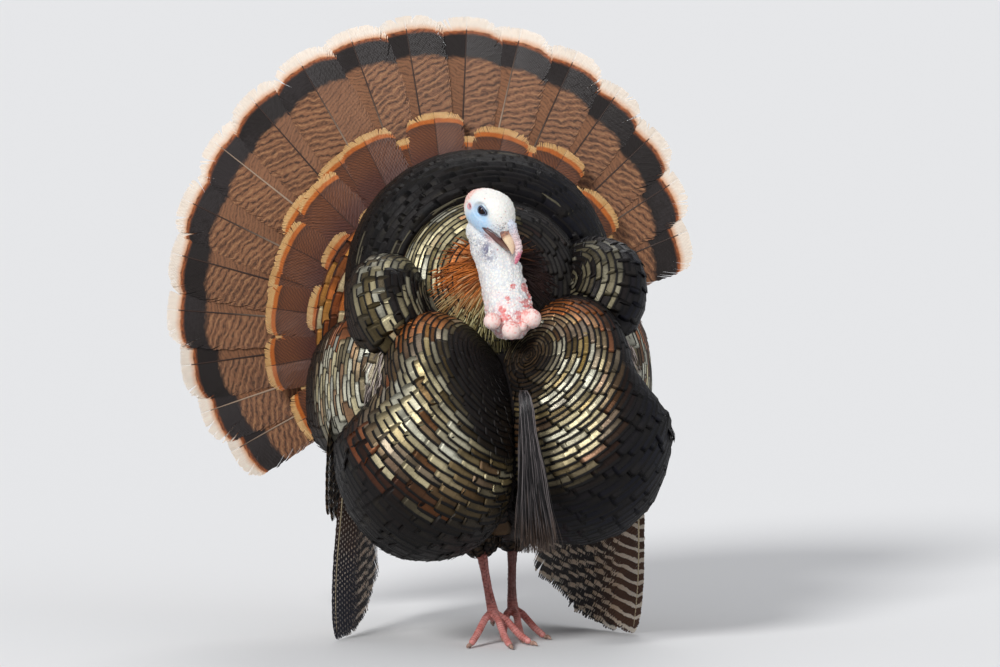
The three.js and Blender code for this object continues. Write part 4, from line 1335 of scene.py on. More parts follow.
def wings():
    """Each wing's ten primaries down to the floor, and the ten secondaries that hang over them."""
    barred = wing_finish("barred_quills", colour(224, 214, 200), colour(34, 27, 27), 15.0)
    dashed = wing_finish("dashed_quills", colour(232, 222, 212), colour(30, 25, 27), 15.0, True)
    duller = wing_finish("brown_quills", colour(150, 128, 100), colour(44, 33, 29), 12.0)
    spaced = (0.02, 0.13, 0.24, 0.35, 0.45, 0.55, 0.65, 0.75, 0.85, 0.95)
    raised = (0, 4, 0, 6, 4, 0, 3, 0, 2, 0)
    primary = {"barbs": (40, 12), "splits": 4, "shaft": (2.2, 0.6), "uneven": 0.03, "taper": 0.4, "slant": 1.3}
    secondary = {"barbs": (22, 12), "splits": 3, "shaft": (1.8, 0.5), "uneven": 0.03, "taper": 0.4, "slant": 1.2}
    for side, sign, bulge, front in (("left", 1, 20, barred), ("right", -1, 4, dashed)):
        rows = [wing_quill(sign, t, 214 - i * 0.8, lerp(1.5, 52, step(0.32, 1, t)) + lift, 9, 40 - i * 0.8,
                           lambda t, h: -3 + 8 * np.sin(math.pi * h) * h, math.radians(24 - i * 1.5), 44,
                           max(0.0, 0.9 - i * 0.35), primary)
                for i, (t, lift) in enumerate(zip(spaced, raised))]
        lay_quills(f"primaries_{side}", rows, front, "wing_quills", [f"wing_primaries_{side}"])
        rows = [wing_quill(sign, t, lerp(310, 258, t), lerp(158, 134, t) + rng.uniform(-2, 6), 12, 34,
                           lambda t, h: 8 + bulge * np.sin(math.pi * (0.12 + 0.8 * h)) * (1 - 0.4 * t),
                           math.radians(6), 44, 0.2, secondary)
                for t in np.linspace(0.02, 0.97, 10)]
        lay_quills(f"secondaries_{side}", rows, duller, "wing_quills", [f"wing_secondaries_{side}"])


tail()
gold_ring()
wings()


# ---- smooth forms
def spline(stations, count):
    """Points on a smooth curve through rows of numbers."""
    rows = np.asarray(stations, float)
    rows = np.concatenate([2 * rows[:1] - rows[1:2], rows, 2 * rows[-1:] - rows[-2:-1]])
    place = np.linspace(0, len(rows) - 3 - 1e-6, count)
    k = place.astype(int)
    t = (place - k)[:, None]
    a, b, c, d = rows[k], rows[k + 1], rows[k + 2], rows[k + 3]
    return 0.5 * (2 * b + (c - a) * t + (2 * a - 5 * b + 4 * c - d) * t ** 2 + (3 * b - 3 * c + d - a) * t ** 3)


def lofted(rings):
    """The points and faces of a closed skin through rings of points."""
    return rings.reshape(-1, 3), tube_faces(*rings.shape[:2])


def head_rings(rows, levels, around, squareness):
    rows = spline(rows, levels)
    c, s = circle(around)
    reach = (np.abs(c) ** squareness + np.abs(s) ** squareness) ** (-1 / squareness)
    rings = np.zeros((levels, around, 3))
    rings[..., 0] = rows[:, :1]
    rings[..., 1] = rows[:, 1:2] * (c * reach)[None]
    rings[..., 2] = (rows[:, 2:3] + rows[:, 3:4]) / 2 + (s * reach)[None] * (rows[:, 2:3] - rows[:, 3:4]) / 2
    return rings


def tube_rings(stations, levels, around):
    """Rings round a smooth path of (x, y, z, radius) rows."""
    rows = spline(stations, levels)
    along = unit(np.gradient(rows[:, :3], axis=0))
    side = unit(np.cross(along, [0.0, 1.0, 0.0]))
    return rings_about(rows[:, :3], rows[:, 3], side, np.cross(side, along), around)


def add_to(whole, points, faces):
    mesh = bpy.data.meshes.new("part")
    mesh.from_pydata([tuple(p) for p in points], [], faces)
    form = bmesh.new()
    form.from_mesh(mesh)
    bmesh.ops.recalc_face_normals(form, faces=form.faces)
    form.to_mesh(mesh)
    form.free()
    whole.from_mesh(mesh)
    bpy.data.meshes.remove(mesh)


def add_ball(whole, centre, radius):
    place = Matrix.Translation(put(centre))
    bmesh.ops.create_icosphere(whole, subdivisions=3, radius=radius * MM, matrix=place)


def closed(name, *pieces):
    """An object of closed pieces in millimetres, given as points and faces, that all face outwards."""
    whole = bmesh.new()
    for points, faces in pieces:
        add_to(whole, put(points), faces)
    return from_form(name, whole)


def safe_map(made, uv, room=((0, 0), (1, 1))):
    """A map from point places, in a box of the image. Faces that cross a fold shrink to a spot at their place."""
    at = uv[corners_of(made)]
    for face in made.data.polygons:
        piece = at[face.loop_start:face.loop_start + face.loop_total]
        if np.ptp(piece[:, 0]) > 0.2 or np.ptp(piece[:, 1]) > 0.2:
            piece[:] = piece[0] + (piece - piece[0]) * 1e-3
    low, high = np.array(room)
    return low + at * (high - low)


# ---- head and neck
EYE = np.array([-2.5, 15.9, 1.0])
EYE_RADIUS = 7.0
LID = (5.9, 4.7)                 # half the opening between the lids, along the head and up it
EAR = np.array([-20.0, 21.0, -7.0])
GAPE = ([13, 16, 20, 25, 33, 41, 48], [-16.0, -13.8, -11.2, -10.0, -10.6, -13.4, -15.2])

SKULL = [
    [-42, 3, -3, -12], [-40, 8, 1.5, -16], [-34, 14.5, 9.5, -23], [-26, 19.3, 16.5, -29], [-15, 22.4, 22.6, -33],
    [-2, 23.2, 27.2, -34], [10, 22.6, 27.6, -33.5], [20, 20.6, 23.0, -32], [28, 17.4, 15.6, -30],
    [34, 13.6, 9.0, -28.6], [39, 10, 4.0, -25.5],
]
NECK = [
    [-24, -121, 560, 18], [-18, -122, 540, 25], [-13, -127, 518, 28.5], [-7, -135, 494, 27.4], [-2, -149, 464, 28.4],
    [0, -168, 440, 29.5], [0, -180, 420, 27], [0, -180, 404, 16],
]
CARUNCLES = [
    (-28, -205, 428.5, 11.2), (-5, -214, 417, 12.3), (23.5, -201, 430.5, 13.2), (9, -212, 421.5, 7.0),
]
# Where the neck is red: across, up and how wide.
RED_PATCHES = [
    (-10, 432, 6), (8, 436, 6), (22, 467, 5), (19, 450, 6), (4, 471, 3), (-35, 437, 5), (31, 442, 6), (-14, 441, 4),
    (-5, 456, 3), (28, 458, 5), (30, 480, 4),
]


def head_form():
    """Skull, neck, fleshy balls and small bumps, as one closed surface."""
    whole = bmesh.new()
    points, faces = lofted(head_rings(SKULL, 44, 56, 2.35))
    add_to(whole, put(in_head(points)), faces)
    points, faces = lofted(tube_rings(NECK, 60, 56))
    add_to(whole, put(points), faces)
    for centre, radius in (((8, 0, -30), 15.5), ((16, 0, -30), 11.5), ((0, 0, -34), 18)):
        add_ball(whole, in_head(centre), radius)
    for x, y, z, radius in CARUNCLES:
        add_ball(whole, (x, y, z), radius)
    lumps = np.random.default_rng(7)
    for _ in range(70):
        # Small fleshy bumps, larger and closer together low on the front and on the neck's left.
        high = lumps.uniform(0, 1) ** 1.4
        turn = math.radians(lumps.uniform(-75, 95) if high < 0.2 else lumps.uniform(40, 100))
        z = lerp(432, 500, high)
        middle = spline(NECK, 200)
        row = middle[np.argmin(np.abs(middle[:, 2] - z))]
        out = row[3] * 0.97
        radius = lumps.uniform(2.8, 5.0) * lerp(1.15, 0.8, high)
        add_ball(whole, (row[0] + math.sin(turn) * out, row[1] - math.cos(turn) * out, z), radius)
    return shell("head_skin", whole, 1.1 * MM, 4)


def head_places(points):
    """Metres in the frame, to the head's own ahead, right and up in millimetres."""
    return (measured(points) - np.array(HEAD_AT)) @ HEAD_AXES.T


def bubbles(points, size, seed):
    """The distance from rounded cells' edges, 0 at an edge and up to 1 in a cell's middle."""
    found = np.zeros(len(points))
    for i, p in enumerate(points):
        distances, _ = noise.voronoi(Vector(p) / size + Vector((seed, seed, seed)))
        found[i] = distances[1] - distances[0]
    return np.clip(found * 1.6, 0, 1)


def lid_reach(f, u):
    """How far a place is from the middle of the eye's opening: 1 on its edge, with a point towards the bill."""
    f, u = f - EYE[0], u - EYE[2]
    point = 1 + 0.16 * np.clip(f / LID[0], 0, 1.5) ** 2
    return np.sqrt((f / (LID[0] * point)) ** 2 + (u / LID[1]) ** 2)


def sculpt_head(made):
    """Shapes the lids' hollow, the ear, the mouth's corner and the pebbled skin, and colours each point."""
    points = read(made, "co")
    normals = read(made, "normal")
    own = head_places(points)
    f, r, u = own.T
    figure = measured(points)
    z = figure[:, 2]
    on_skull = step(-36, -24, u) * step(468, 500, z)
    reach = lid_reach(f, u)
    near_eye = (np.abs(r) > 9) & (reach < 3.2)
    side = np.sign(r)
    out = (f - EYE[0]) ** 2 + (u - EYE[2]) ** 2
    sphere = EYE[1] + np.sqrt(np.clip(EYE_RADIUS ** 2 - out, 0.5, None)) - 0.15
    r_new = np.where(reach > 1.02, lerp(sphere, np.abs(r), step(1.0, 2.5, reach)), EYE[1] - 2.0)
    wrinkle = 0.28 * np.sin((reach - 1.0) * 9.0) * step(1.25, 1.5, reach) * fall(2.2, 3.0, reach) * (u < 2.5)
    r = np.where(near_eye, side * (r_new - wrinkle), r)
    own = columns(f, r, u)
    # The ear's hole, and the groove that runs back from the bill.
    ear = np.linalg.norm((own - EAR * [1, 0, 1])[:, [0, 2]] / [3.0, 2.4], axis=1)
    ear = np.where(np.abs(r) > 12, ear, 9)
    dent = -3.0 * fall(0.4, 1.0, ear) + 0.7 * hump((ear - 1.35) / 0.35)
    gape = np.abs(u - np.interp(f, *GAPE)) / 1.3
    gape = np.where((f > GAPE[0][0]) & (f < 44) & (np.abs(r) > 4), gape, 9)
    dent = dent - 1.2 * hump(gape)
    # Pebbled skin: fine on the crown, coarse down the neck, smooth on the face and the fleshy balls.
    face = step(3.0, -3.0, u - 2.0 + 0.10 * f) * step(-27, -19, u) * step(-26, -14, f)
    balls = np.min([np.linalg.norm(figure - c[:3], axis=1) / c[3] for c in CARUNCLES], axis=0)
    smooth = np.clip(face * on_skull + fall(1.02, 1.25, balls), 0, 1)
    low = fall(-34, -22, u)
    bent = figure + 1.6 * columns(*(rough_noise(figure, 5.0, k) for k in (21.0, 22.0, 23.0)))
    coarse = bubbles(bent * [1, 1, 0.8], 4.4, 3.0)
    fine = bubbles(bent, 2.7, 8.0)
    folds = rough_noise(figure * [1, 1, 0.45], 7.0, 4.0)
    crown = bubbles(bent, 3.6, 14.0)
    high_lift = (fine - 0.35) * 0.35 + (crown - 0.4) * 0.75
    lift = high_lift * (1 - low) + ((coarse - 0.45) * 0.95 + (fine - 0.35) * 0.35 + folds * 1.1) * low
    lift = lift * (1 - 0.9 * smooth) + 0.25 * rough_noise(figure, 4.0, 6.0) * smooth
    lift = np.where(near_eye & (reach < 1.7), lift * step(1.25, 1.7, reach), lift)
    moved = put(in_head(own)) + normals * ((dent + lift) * MM)[:, None]
    set_points(made, moved)
    tone, marks = head_tones(own, figure, {"ear": ear, "gape": gape, "reach": reach, "coarse": coarse, "fine": fine,
                                           "balls": balls, "low": low})
    give(made, "tone", np.append(tone, np.ones((len(tone), 1)), axis=1))
    give(made, "marks", marks)


WHITE_SKIN = colour(240, 238, 232)
ICE_BLUE = colour(168, 206, 238)
PALE_BLUE = colour(206, 226, 240)
PINK_SKIN = colour(248, 208, 204)
RED_SKIN = colour(214, 66, 60)
STUBBLE = colour(96, 92, 124)
BALL_SKIN = colour(250, 222, 214)


def head_tones(own, figure, at):
    """The bare skin's colour at each point, then how speckled, how far down and how blue it is."""
    f, r, u = own.T
    x, y, z = figure.T
    wide = rough_noise(figure, 9.0, 1.0)
    tight = rough_noise(figure, 2.6, 12.0)
    edge = u - 1.5 + 0.13 * np.maximum(f, 0) + wide * 1.6
    cheek = step(8.0, -6.0, edge + tight * 1.5) * step(-34, -18, u + wide * 3) * step(-29, -10, f + wide * 4)
    cheek = cheek * (1 - 0.8 * step(14, 32, f + wide * 3))
    rear = step(-23, -35, f + wide * 3) * step(-60, -20, u)
    rim = hump((at["reach"] - 1.12) / 0.16) * (np.abs(r) > 9)
    # Painted shade: pale grey lies in the valleys between the pebbles. Lower down there are patches of red, most of
    # them at the left of the neck.
    valley = fall(0.08, 0.42, at["coarse"])
    pinkish = fall(440, 480, z + wide * 10) * step(-0.2, 0.4, tight + wide)
    red = np.max([hump((x - px) / w, (z - pz) / w) for px, pz, w in RED_PATCHES], axis=0)
    red = step(0.38, 0.62, red ** 0.6 + 0.5 * tight + 0.22 * (valley - 0.5) + 0.3 * wide) * (y < -120)
    red = np.maximum(red, 0.75 * valley * fall(430, 450, z) * (y < -120))
    on_ball = step(1.15, 1.0, at["balls"])
    crowns = np.max([hump((z - c[2] - c[3] * 0.9) / (c[3] * 0.5)) * (
        np.linalg.norm(figure - c[:3], axis=1) < c[3] * 1.2) for c in CARUNCLES], axis=0)
    # Dark stubble on the forehead, before the eye and under the corner of the mouth.
    throat = hump((x + 25 - (516 - z) * 0.16) / 7.5, (z - 515) / 16) * (y < -125)
    speck = hump((f - 31) / 8, (u + 2) / 9) + throat + 0.16 * at["low"] * step(470, 500, z) + 0.06 * cheek
    tone = blended(
        WHITE_SKIN,
        (ICE_BLUE, cheek * (0.85 + 0.2 * tight)),
        (PALE_BLUE, 0.75 * hump((f + 1) / 11, (u - 7) / 4.5)),
        (PALE_BLUE, 0.3 * at["low"] * step(0.0, 0.5, wide) * step(470, 510, z)),
        (colour(246, 196, 182), rear * 0.75),
        (RED_SKIN, 0.55 * rear * step(0.05, 0.45, tight) + 0.7 * hump((at["ear"] - 1.2) / 0.5)),
        (colour(96, 66, 50), fall(0.5, 1.0, at["ear"])),
        (PINK_SKIN, 0.8 * hump((f - 27) / 9, (u + 21) / 4.0) * (np.abs(r) > 3)),
        (colour(74, 56, 54), np.exp(-at["gape"] ** 2 * 0.8)),
        (colour(58, 66, 92), rim * 0.75),
        (colour(196, 202, 214), valley * at["low"] * 0.6),
        (PINK_SKIN, pinkish * 0.7),
        (RED_SKIN, red * step(0.98, 1.12, at["balls"]) * (0.62 + 0.4 * tight)),
        (BALL_SKIN, on_ball * 0.9),
        (RED_SKIN, on_ball * np.clip(crowns * (0.5 + tight * 1.5 + wide), 0, 1) * 0.8),
        (colour(244, 150, 140), 0.5 * on_ball * step(0.1, 0.45, tight + wide * 0.5)),
        (STUBBLE, throat * 0.95 * step(-0.4, 0.2, tight + wide * 0.6)),
        (colour(150, 156, 178), 0.6 * hump((f - 31) / 7, (u + 4) / 9) * step(-0.3, 0.3, tight)),
    )
    return tone, columns(np.clip(speck, 0, 1), at["low"], cheek)


FLESHY = {"Subsurface_Weight": 0.12, "Subsurface_Radius": (0.004, 0.002, 0.0015), "Subsurface_Scale": 0.4}


def bare_finish():
    """Thin bare skin, pebbled and wrinkled, with small dark bristle marks."""
    f = Finish("bare_skin")
    tone = f.attribute("tone", "Color")
    speck, _, cheek = f.parts("marks")
    pores = f.cells(0.0011)
    beads = f.cells(0.0021, feature="SMOOTH_F1")
    wrinkle = f.clouds(0.0032, 4.0, roughness=0.65)
    dots = f.cells(0.0017)
    chance, _, _ = f.parts(f.cells(0.0017, output="Color"))
    dark = (1.0 - (dots + wrinkle * 0.5).between(0.14, 0.34)) * (chance + speck).between(0.85, 1.15)
    mottled = f.tinted(tone, 1.0 + wrinkle * 0.16 - (pores - 0.5) * 0.07)
    whole = f.mix(mottled, colour(58, 60, 84), (dark * speck.between(0.02, 0.35)).clamped() * 0.9)
    height = beads * -0.5 * (1.0 - cheek * 0.6) + wrinkle * 0.9 - pores * 0.2
    return f.surface(
        Base_Color=whole,
        Roughness=0.46 + wrinkle * 0.2,
        Specular_IOR_Level=0.4,
        Normal=f.bump(height, 0.0007, 0.55),
        **FLESHY,
    )


def lid_rings(side):
    """The smooth rim of the eyelids, as rings of points round the opening."""
    around, fine = 48, 8
    cosine, sine = circle(around)
    point = 1 + 0.16 * np.clip(cosine, 0, 1) ** 2
    f, u = LID[0] * point * cosine * 1.02, LID[1] * sine * 1.02
    out = EYE[1] + np.sqrt(EYE_RADIUS ** 2 - np.minimum(f ** 2 + u ** 2, EYE_RADIUS ** 2 - 4))
    centre = columns(f + EYE[0], side * (out + 0.05), u + EYE[2])
    outward = unit(columns(f, 0 * f, u))
    rings = rings_about(centre, 0.62 + 0.25 * np.clip(sine, 0, 1), outward, np.array([0.0, side, 0.0]), fine)
    faces = [[fine * k + j, fine * k + (j + 1) % fine, fine * ((k + 1) % around) + (j + 1) % fine,
              fine * ((k + 1) % around) + j] for k in range(around) for j in range(fine)]
    return in_head(rings.reshape(-1, 3)), faces


def lids():
    made = closed("lids", lid_rings(1), lid_rings(-1))
    count = len(made.data.vertices)
    give(made, "tone", np.tile([*colour(96, 108, 136), 1.0], (count, 1)))
    give(made, "marks", np.tile([0.0, 0.0, 1.0], (count, 1)))
    return made


def eye_finish():
    f = Finish("eye")
    off, _, _ = f.parts("gaze")
    streaks = f.clouds(0.0006, 3.0)
    iris = f.mix(colour(46, 20, 18), colour(18, 10, 12), (off + streaks * 0.5).between(0.55, 0.95))
    iris = f.tinted(iris, 1.0 + streaks * 0.7)
    whole = f.mix(colour(5, 4, 7), iris, off.between(0.46, 0.54))
    whole = f.mix(whole, colour(26, 20, 22), off.between(0.92, 1.02))
    return f.surface(Base_Color=whole, Roughness=0.07, Specular_IOR_Level=0.3)


def eyes():
    finish = eye_finish()
    for name, side in (("left", -1), ("right", 1)):
        form = bmesh.new()
        bmesh.ops.create_uvsphere(form, u_segments=40, v_segments=28, radius=1)
        points, faces = taken(form)
        # Turned so that the sphere's pole looks out, and slightly fuller there.
        out, across, up = points[:, 2], points[:, 0], points[:, 1]
        full = EYE_RADIUS * (1 + 0.04 * step(0.82, 1.0, out))
        own = columns(EYE[0] + across * full, side * (EYE[1] + out * full), EYE[2] + up * full)
        made = closed(f"eye_ball_{name}", (in_head(own), faces))
        off = np.hypot(across, up) / 0.74
        give(made, "gaze", columns(off, off, off))
        layer = columns(across, up) * 0.45 + 0.5
        give_map(made, layer[corners_of(made)])
        keep(made, finish, "eye", f"eye_{name}")


UPPER_BILL = [
    [30, 12.5, 6.0, -13.0], [35, 12.6, 3.8, -13.6], [40, 11.6, 0.8, -14.6], [45, 9.8, -3.0, -15.8],
    [50, 7.5, -7.2, -17.0], [54, 5.4, -11.0, -18.4], [57.4, 3.4, -14.6, -20.0], [59.6, 1.7, -17.6, -21.2],
    [60.4, 0.5, -19.6, -21.6],
]
LOWER_BILL = [
    [14, 20.6, -14.6, -16.0], [17, 21.6, -12.8, -16.8], [21, 21.6, -11.0, -17.4], [26, 20.4, -10.2, -18.0],
    [31, 18.6, -10.6, -18.8], [36, 16.4, -12.2, -19.6], [41, 13.6, -14.0, -20.2], [46, 10.4, -15.4, -20.4],
    [50, 7.4, -16.6, -20.4], [53.5, 4.2, -17.8, -20.2], [55.5, 1.6, -18.6, -20.0],
]


def bill_finish():
    f = Finish("bill_horn")
    along, side, up = f.parts("own")
    grain = f.clouds(0.0028, 4.0, f.vector(along * 0.0005, side * 0.002, up * 0.002))
    mottle = f.clouds(0.004, 3.0)
    base = f.mix(colour(112, 84, 78), colour(206, 146, 116), (mottle * 3.0 + 0.45).clamped())
    horn = f.mix(colour(226, 184, 160), colour(240, 214, 178), (grain + 0.5 + (side.size() * 0.06)).clamped())
    whole = f.mix(base, horn, (along + mottle * 6.0 - up * 0.2).between(41.0, 47.0))
    lower = f.mix(colour(70, 44, 46), colour(112, 74, 72), mottle + 0.5)
    lower = f.mix(lower, colour(128, 98, 86), along.between(42.0, 58.0))
    whole = f.mix(whole, lower, (1.0 - f.attribute("upper")) * 0.95)
    whole = f.tinted(whole, 1.0 + grain * 0.3)
    return f.surface(Base_Color=whole, Roughness=0.34 + grain * 0.25, Specular_IOR_Level=0.5,
                     Normal=f.bump(grain + mottle * 0.5, 0.0005, 0.4))


def bill():
    finish = bill_finish()
    for name, rows, node in (("bill_upper", UPPER_BILL, "upper_bill"), ("bill_lower", LOWER_BILL, "lower_bill")):
        upper = name == "bill_upper"
        rings = head_rings(rows, 56, 40, 1.9 if upper else 3.2)
        f, r, u = rings[..., 0], rings[..., 1], rings[..., 2]
        if upper:
            # A ridged culmen, a slit nostril under a flap, and an edge that closes over the lower bill.
            hole = hump((f - 42.5) / 2.6, (u + 6.5 + (f - 42.5) * 0.75) / 1.1)
            flap = hump((f - 41.5) / 3.8, (u + 4.0 + (f - 41.5) * 0.7) / 1.5)
            r = r * (1 + 0.10 * flap - 0.26 * hole)
            u = u + 0.5 * hump(r / 1.8) * (u > u.mean(axis=1, keepdims=True))
        rings = np.stack([f, r, u], axis=2)
        points, faces = lofted(rings)
        made = closed(name, (in_head(points), faces))
        own = head_places(read(made, "co"))
        give(made, "own", own)
        give(made, "upper", np.full(len(own), float(upper)))
        turn = np.arctan2(own[:, 1], own[:, 2] + 15) / (2 * math.pi)
        uv = columns((own[:, 0] - 28) / 40, 0.5 + turn * 0.98)
        give_map(made, safe_map(made, np.clip(uv, 0, 1)))
        keep(made, finish, "bill_horn", node)


SNOOD = [
    [24, 0, 5, 5.0], [30, 0, 7.0, 5.8], [36, -0.4, 6.6, 6.2], [41, -1.6, 2.8, 5.8], [46.5, -4.2, -2.6, 5.3],
    [51, -7.2, -7.5, 5.1], [55.1, -9, -12, 5.2], [58.4, -9.4, -16.6, 5.2], [61, -9.5, -20.8, 4.6],
    [63.6, -9.5, -26.2, 3.4], [65.4, -9.5, -30.4, 2.4], [66.4, -9.5, -32.8, 1.0],
]


def snood_finish():
    f = Finish("snood_skin")
    along, _, _ = f.parts("own")
    wrinkle = f.clouds(0.0025, 4.0, roughness=0.65)
    beads = f.cells(0.0018)
    dots = f.cells(0.0016)
    chance, _, _ = f.parts(f.cells(0.0016, output="Color"))
    tone = f.mix(colour(210, 216, 228), colour(240, 216, 216), (along + wrinkle * 20.0).between(36.0, 54.0))
    tone = f.mix(tone, colour(226, 130, 152), (along + wrinkle * 6.0).between(61.5, 64.5))
    tone = f.tinted(tone, 1.0 + wrinkle * 0.3 - beads * 0.12)
    marked = (1.0 - (dots + wrinkle * 0.6).between(0.2, 0.4)) * (
        chance + (1.0 - along.between(40.0, 60.0)) * 0.3).between(0.7, 0.9)
    whole = f.mix(tone, colour(60, 62, 90), marked * 0.85)
    return f.surface(Base_Color=whole, Roughness=0.42 + wrinkle * 0.2, **FLESHY,
                     Normal=f.bump(wrinkle - beads * 0.6, 0.0008, 0.7))


def snood():
    levels, around = 120, 32
    rows = spline(SNOOD, levels)
    rows[:, 3] *= 1 + 0.035 * np.sin(np.linspace(0, 70, levels)) + 0.03 * np.sin(np.linspace(3, 163, levels))
    points, faces = lofted(tube_rings(rows, levels, around))
    places = in_head(points)
    rough = columns(*(rough_noise(places, 2.6, k) for k in (1.0, 2.0, 3.0)))
    made = closed("snood_flesh", (places + rough * 0.9 + rng.normal(0, 0.04, places.shape), faces))
    give(made, "own", head_places(read(made, "co")))
    turn, at = np.meshgrid(np.linspace(0, 1, around, False), np.linspace(0, 1, levels))
    give_map(made, safe_map(made, columns(turn.ravel(), at.ravel())))
    keep(made, snood_finish(), "wattle_skin", "snood")


def bristles(tree):
    """Short dark hair-like feathers on lore, throat and crown, lying back from the bill."""
    rows = []
    for _ in range(1500):
        kind = rng.uniform()
        if kind < 0.55:
            own = np.array([rng.normal(32, 5), rng.uniform(-14, 14), rng.normal(1, 6)])
        elif kind < 0.93:
            own = np.array([rng.normal(17, 7), rng.choice([-1, 1]) * rng.uniform(8, 22), rng.normal(-36, 7)])
        else:
            own = np.array([rng.uniform(-30, 30), rng.uniform(-24, 24), rng.uniform(-50, 24)])
        found, normal, _, distance = tree.find_nearest(Vector(put(in_head(own))))
        if found is None or distance > 7 * MM:
            continue
        local = head_places(np.array(found)[None])[0]
        if lid_reach(local[0], local[2]) < 1.6 and abs(local[1]) > 9:
            continue
        rows.append((found, normal))
        if len(rows) >= 360:
            break
    roots, normals = np.array(rows, float).transpose(1, 0, 2)
    back = -HEAD_FORWARD + HEAD_UP * -0.35
    way = unit(tangents(normals, np.tile(back, (len(roots), 1))) + normals * 0.55 + rng.normal(0, 0.25, roots.shape))
    length = rng.uniform(1.6, 4.2, len(roots)) * MM
    side = unit(np.cross(way, normals))
    stops = np.array([0.0, 0.5, 1.0])[None, :, None]
    length = length[:, None, None]
    bend = -normals[:, None] * stops ** 2 * length * 0.35
    spine = roots[:, None] - normals[:, None] * 0.2 * MM + way[:, None] * (stops * length) + bend
    thick = 0.17 * MM * np.array([1.0, 0.75, 0.15])
    rings = rings_about(spine, thick, side[:, None], np.cross(way, side)[:, None], 3)
    made = mesh_object("bristles", rings.reshape(-1, 3), copies(tube_faces(3, 3), 9, len(roots)))
    f = Finish("bristle")
    hair = f.clouds(0.002, 2.0)
    material = f.surface(Base_Color=f.tinted(colour(42, 40, 54), 1.0 + hair), Roughness=0.5)
    spot = np.repeat(columns(np.arange(len(roots)) % 24 / 24, np.arange(len(roots)) // 24 / 24), 9, axis=0)
    local = np.tile(columns(np.tile([0, 0.5, 1], 3), np.repeat([0, 0.5, 1], 3)) * 0.03, (len(roots), 1))
    give_map(made, (spot + local)[corners_of(made)])
    keep(made, material, "bare_skin")


# ---- legs
# The line of the bones in each leg: the shank's, then those of the three front toes and the hind one.
LEG_BONES = [
    [(-14, -30, 160), (-11, -38, 121), (-3, -72, 46)],
    [(-3, -72, 46), (-16, -92, 32), (-30, -112, 15), (-40, -128, 6)],
    [(-3, -72, 46), (1, -96, 32), (3, -124, 15), (5, -148, 6)],
    [(-3, -72, 46), (14, -86, 30), (27, -104, 13), (36, -118, 6)],
    [(-3, -72, 46), (-1, -54, 34), (3, -42, 26)],
    [(44, 26, 160), (42, 18, 121), (37, -4, 42)],
    [(37, -4, 42), (26, -24, 30), (18, -46, 14), (14, -62, 6)],
    [(37, -4, 42), (38, -30, 30), (36, -58, 14), (34, -84, 6)],
    [(37, -4, 42), (48, -20, 30), (60, -38, 14), (68, -52, 6)],
    [(37, -4, 42), (36, 14, 30), (33, 27, 22)],
]
LINES_IN_A_LEG = 5


def nearest_bone(points, paths):
    """For each point: its nearest path, how far along it, the way there from the bone, its axis and the distance."""
    count = len(points)
    best = np.full(count, 1e9)
    which, along = np.zeros((2, count))
    away, axis = np.zeros((2, count, 3))
    for number, path in enumerate(paths):
        run = 0.0
        for a, b in zip(np.array(path[:-1], float), np.array(path[1:], float)):
            span = b - a
            size = np.linalg.norm(span)
            t = np.clip((points - a) @ span / size ** 2, 0, 1)
            off = points - (a + t[:, None] * span)
            distance = np.linalg.norm(off, axis=1)
            nearer = distance < best
            best[nearer], which[nearer] = distance[nearer], number
            along[nearer], away[nearer], axis[nearer] = (run + t * size)[nearer], off[nearer], span / size
            run += size
    return which, along, away, axis, best


def leg_skin():
    """The legs' surface, with grooves between the scutes and small scales behind."""
    made = shell("leg_skin", copied(["leg_left", "leg_right"]), 1.4 * MM, 5)
    points, normals = read(made, "co"), read(made, "normal")
    figure = measured(points)
    which, along, off, axis, distance = nearest_bone(figure, LEG_BONES)
    front = np.array([0.0, -1.0, 0.35])
    top = unit(front - axis * (axis @ front)[:, None])
    around = np.arctan2(np.sum(off * np.cross(axis, top), axis=1), np.sum(off * top, axis=1))
    shank = which % LINES_IN_A_LEG == 0
    # Scutes: two rows of slanting plates down the shank's front, and bands over the toes.
    zigzag = np.abs(around) * np.where(shank, 1.35, 0.35)
    period = np.where(shank, 5.4, 4.2)
    phase = (along / period + zigzag * 0.45 + np.where(shank & (around > 0), 0.5, 0)) % 1
    seam = np.where(shank, fall(0.0, 0.16, np.abs(around)), 0)
    behind = step(1.5, 2.1, np.abs(around))
    groove = np.maximum(fall(0.0, 0.28, np.minimum(phase, 1 - phase) * 2), seam) * (1 - behind)
    web = step(9.0, 12.0, distance)
    lift = (-0.8 * groove + (bubbles(figure, 3.0, 2.0) - 0.5) * 0.55 * behind) * (1 - web)
    set_points(made, points + normals * (lift * MM)[:, None])
    give(made, "scute", columns(groove, behind, web))
    give(made, "leg", columns(figure[:, 0], along, figure[:, 2]))
    return made


def leg_map(figure):
    return columns((figure[:, 0] + 60) / 140, (figure[:, 2] - figure[:, 1] + 10) / 320)


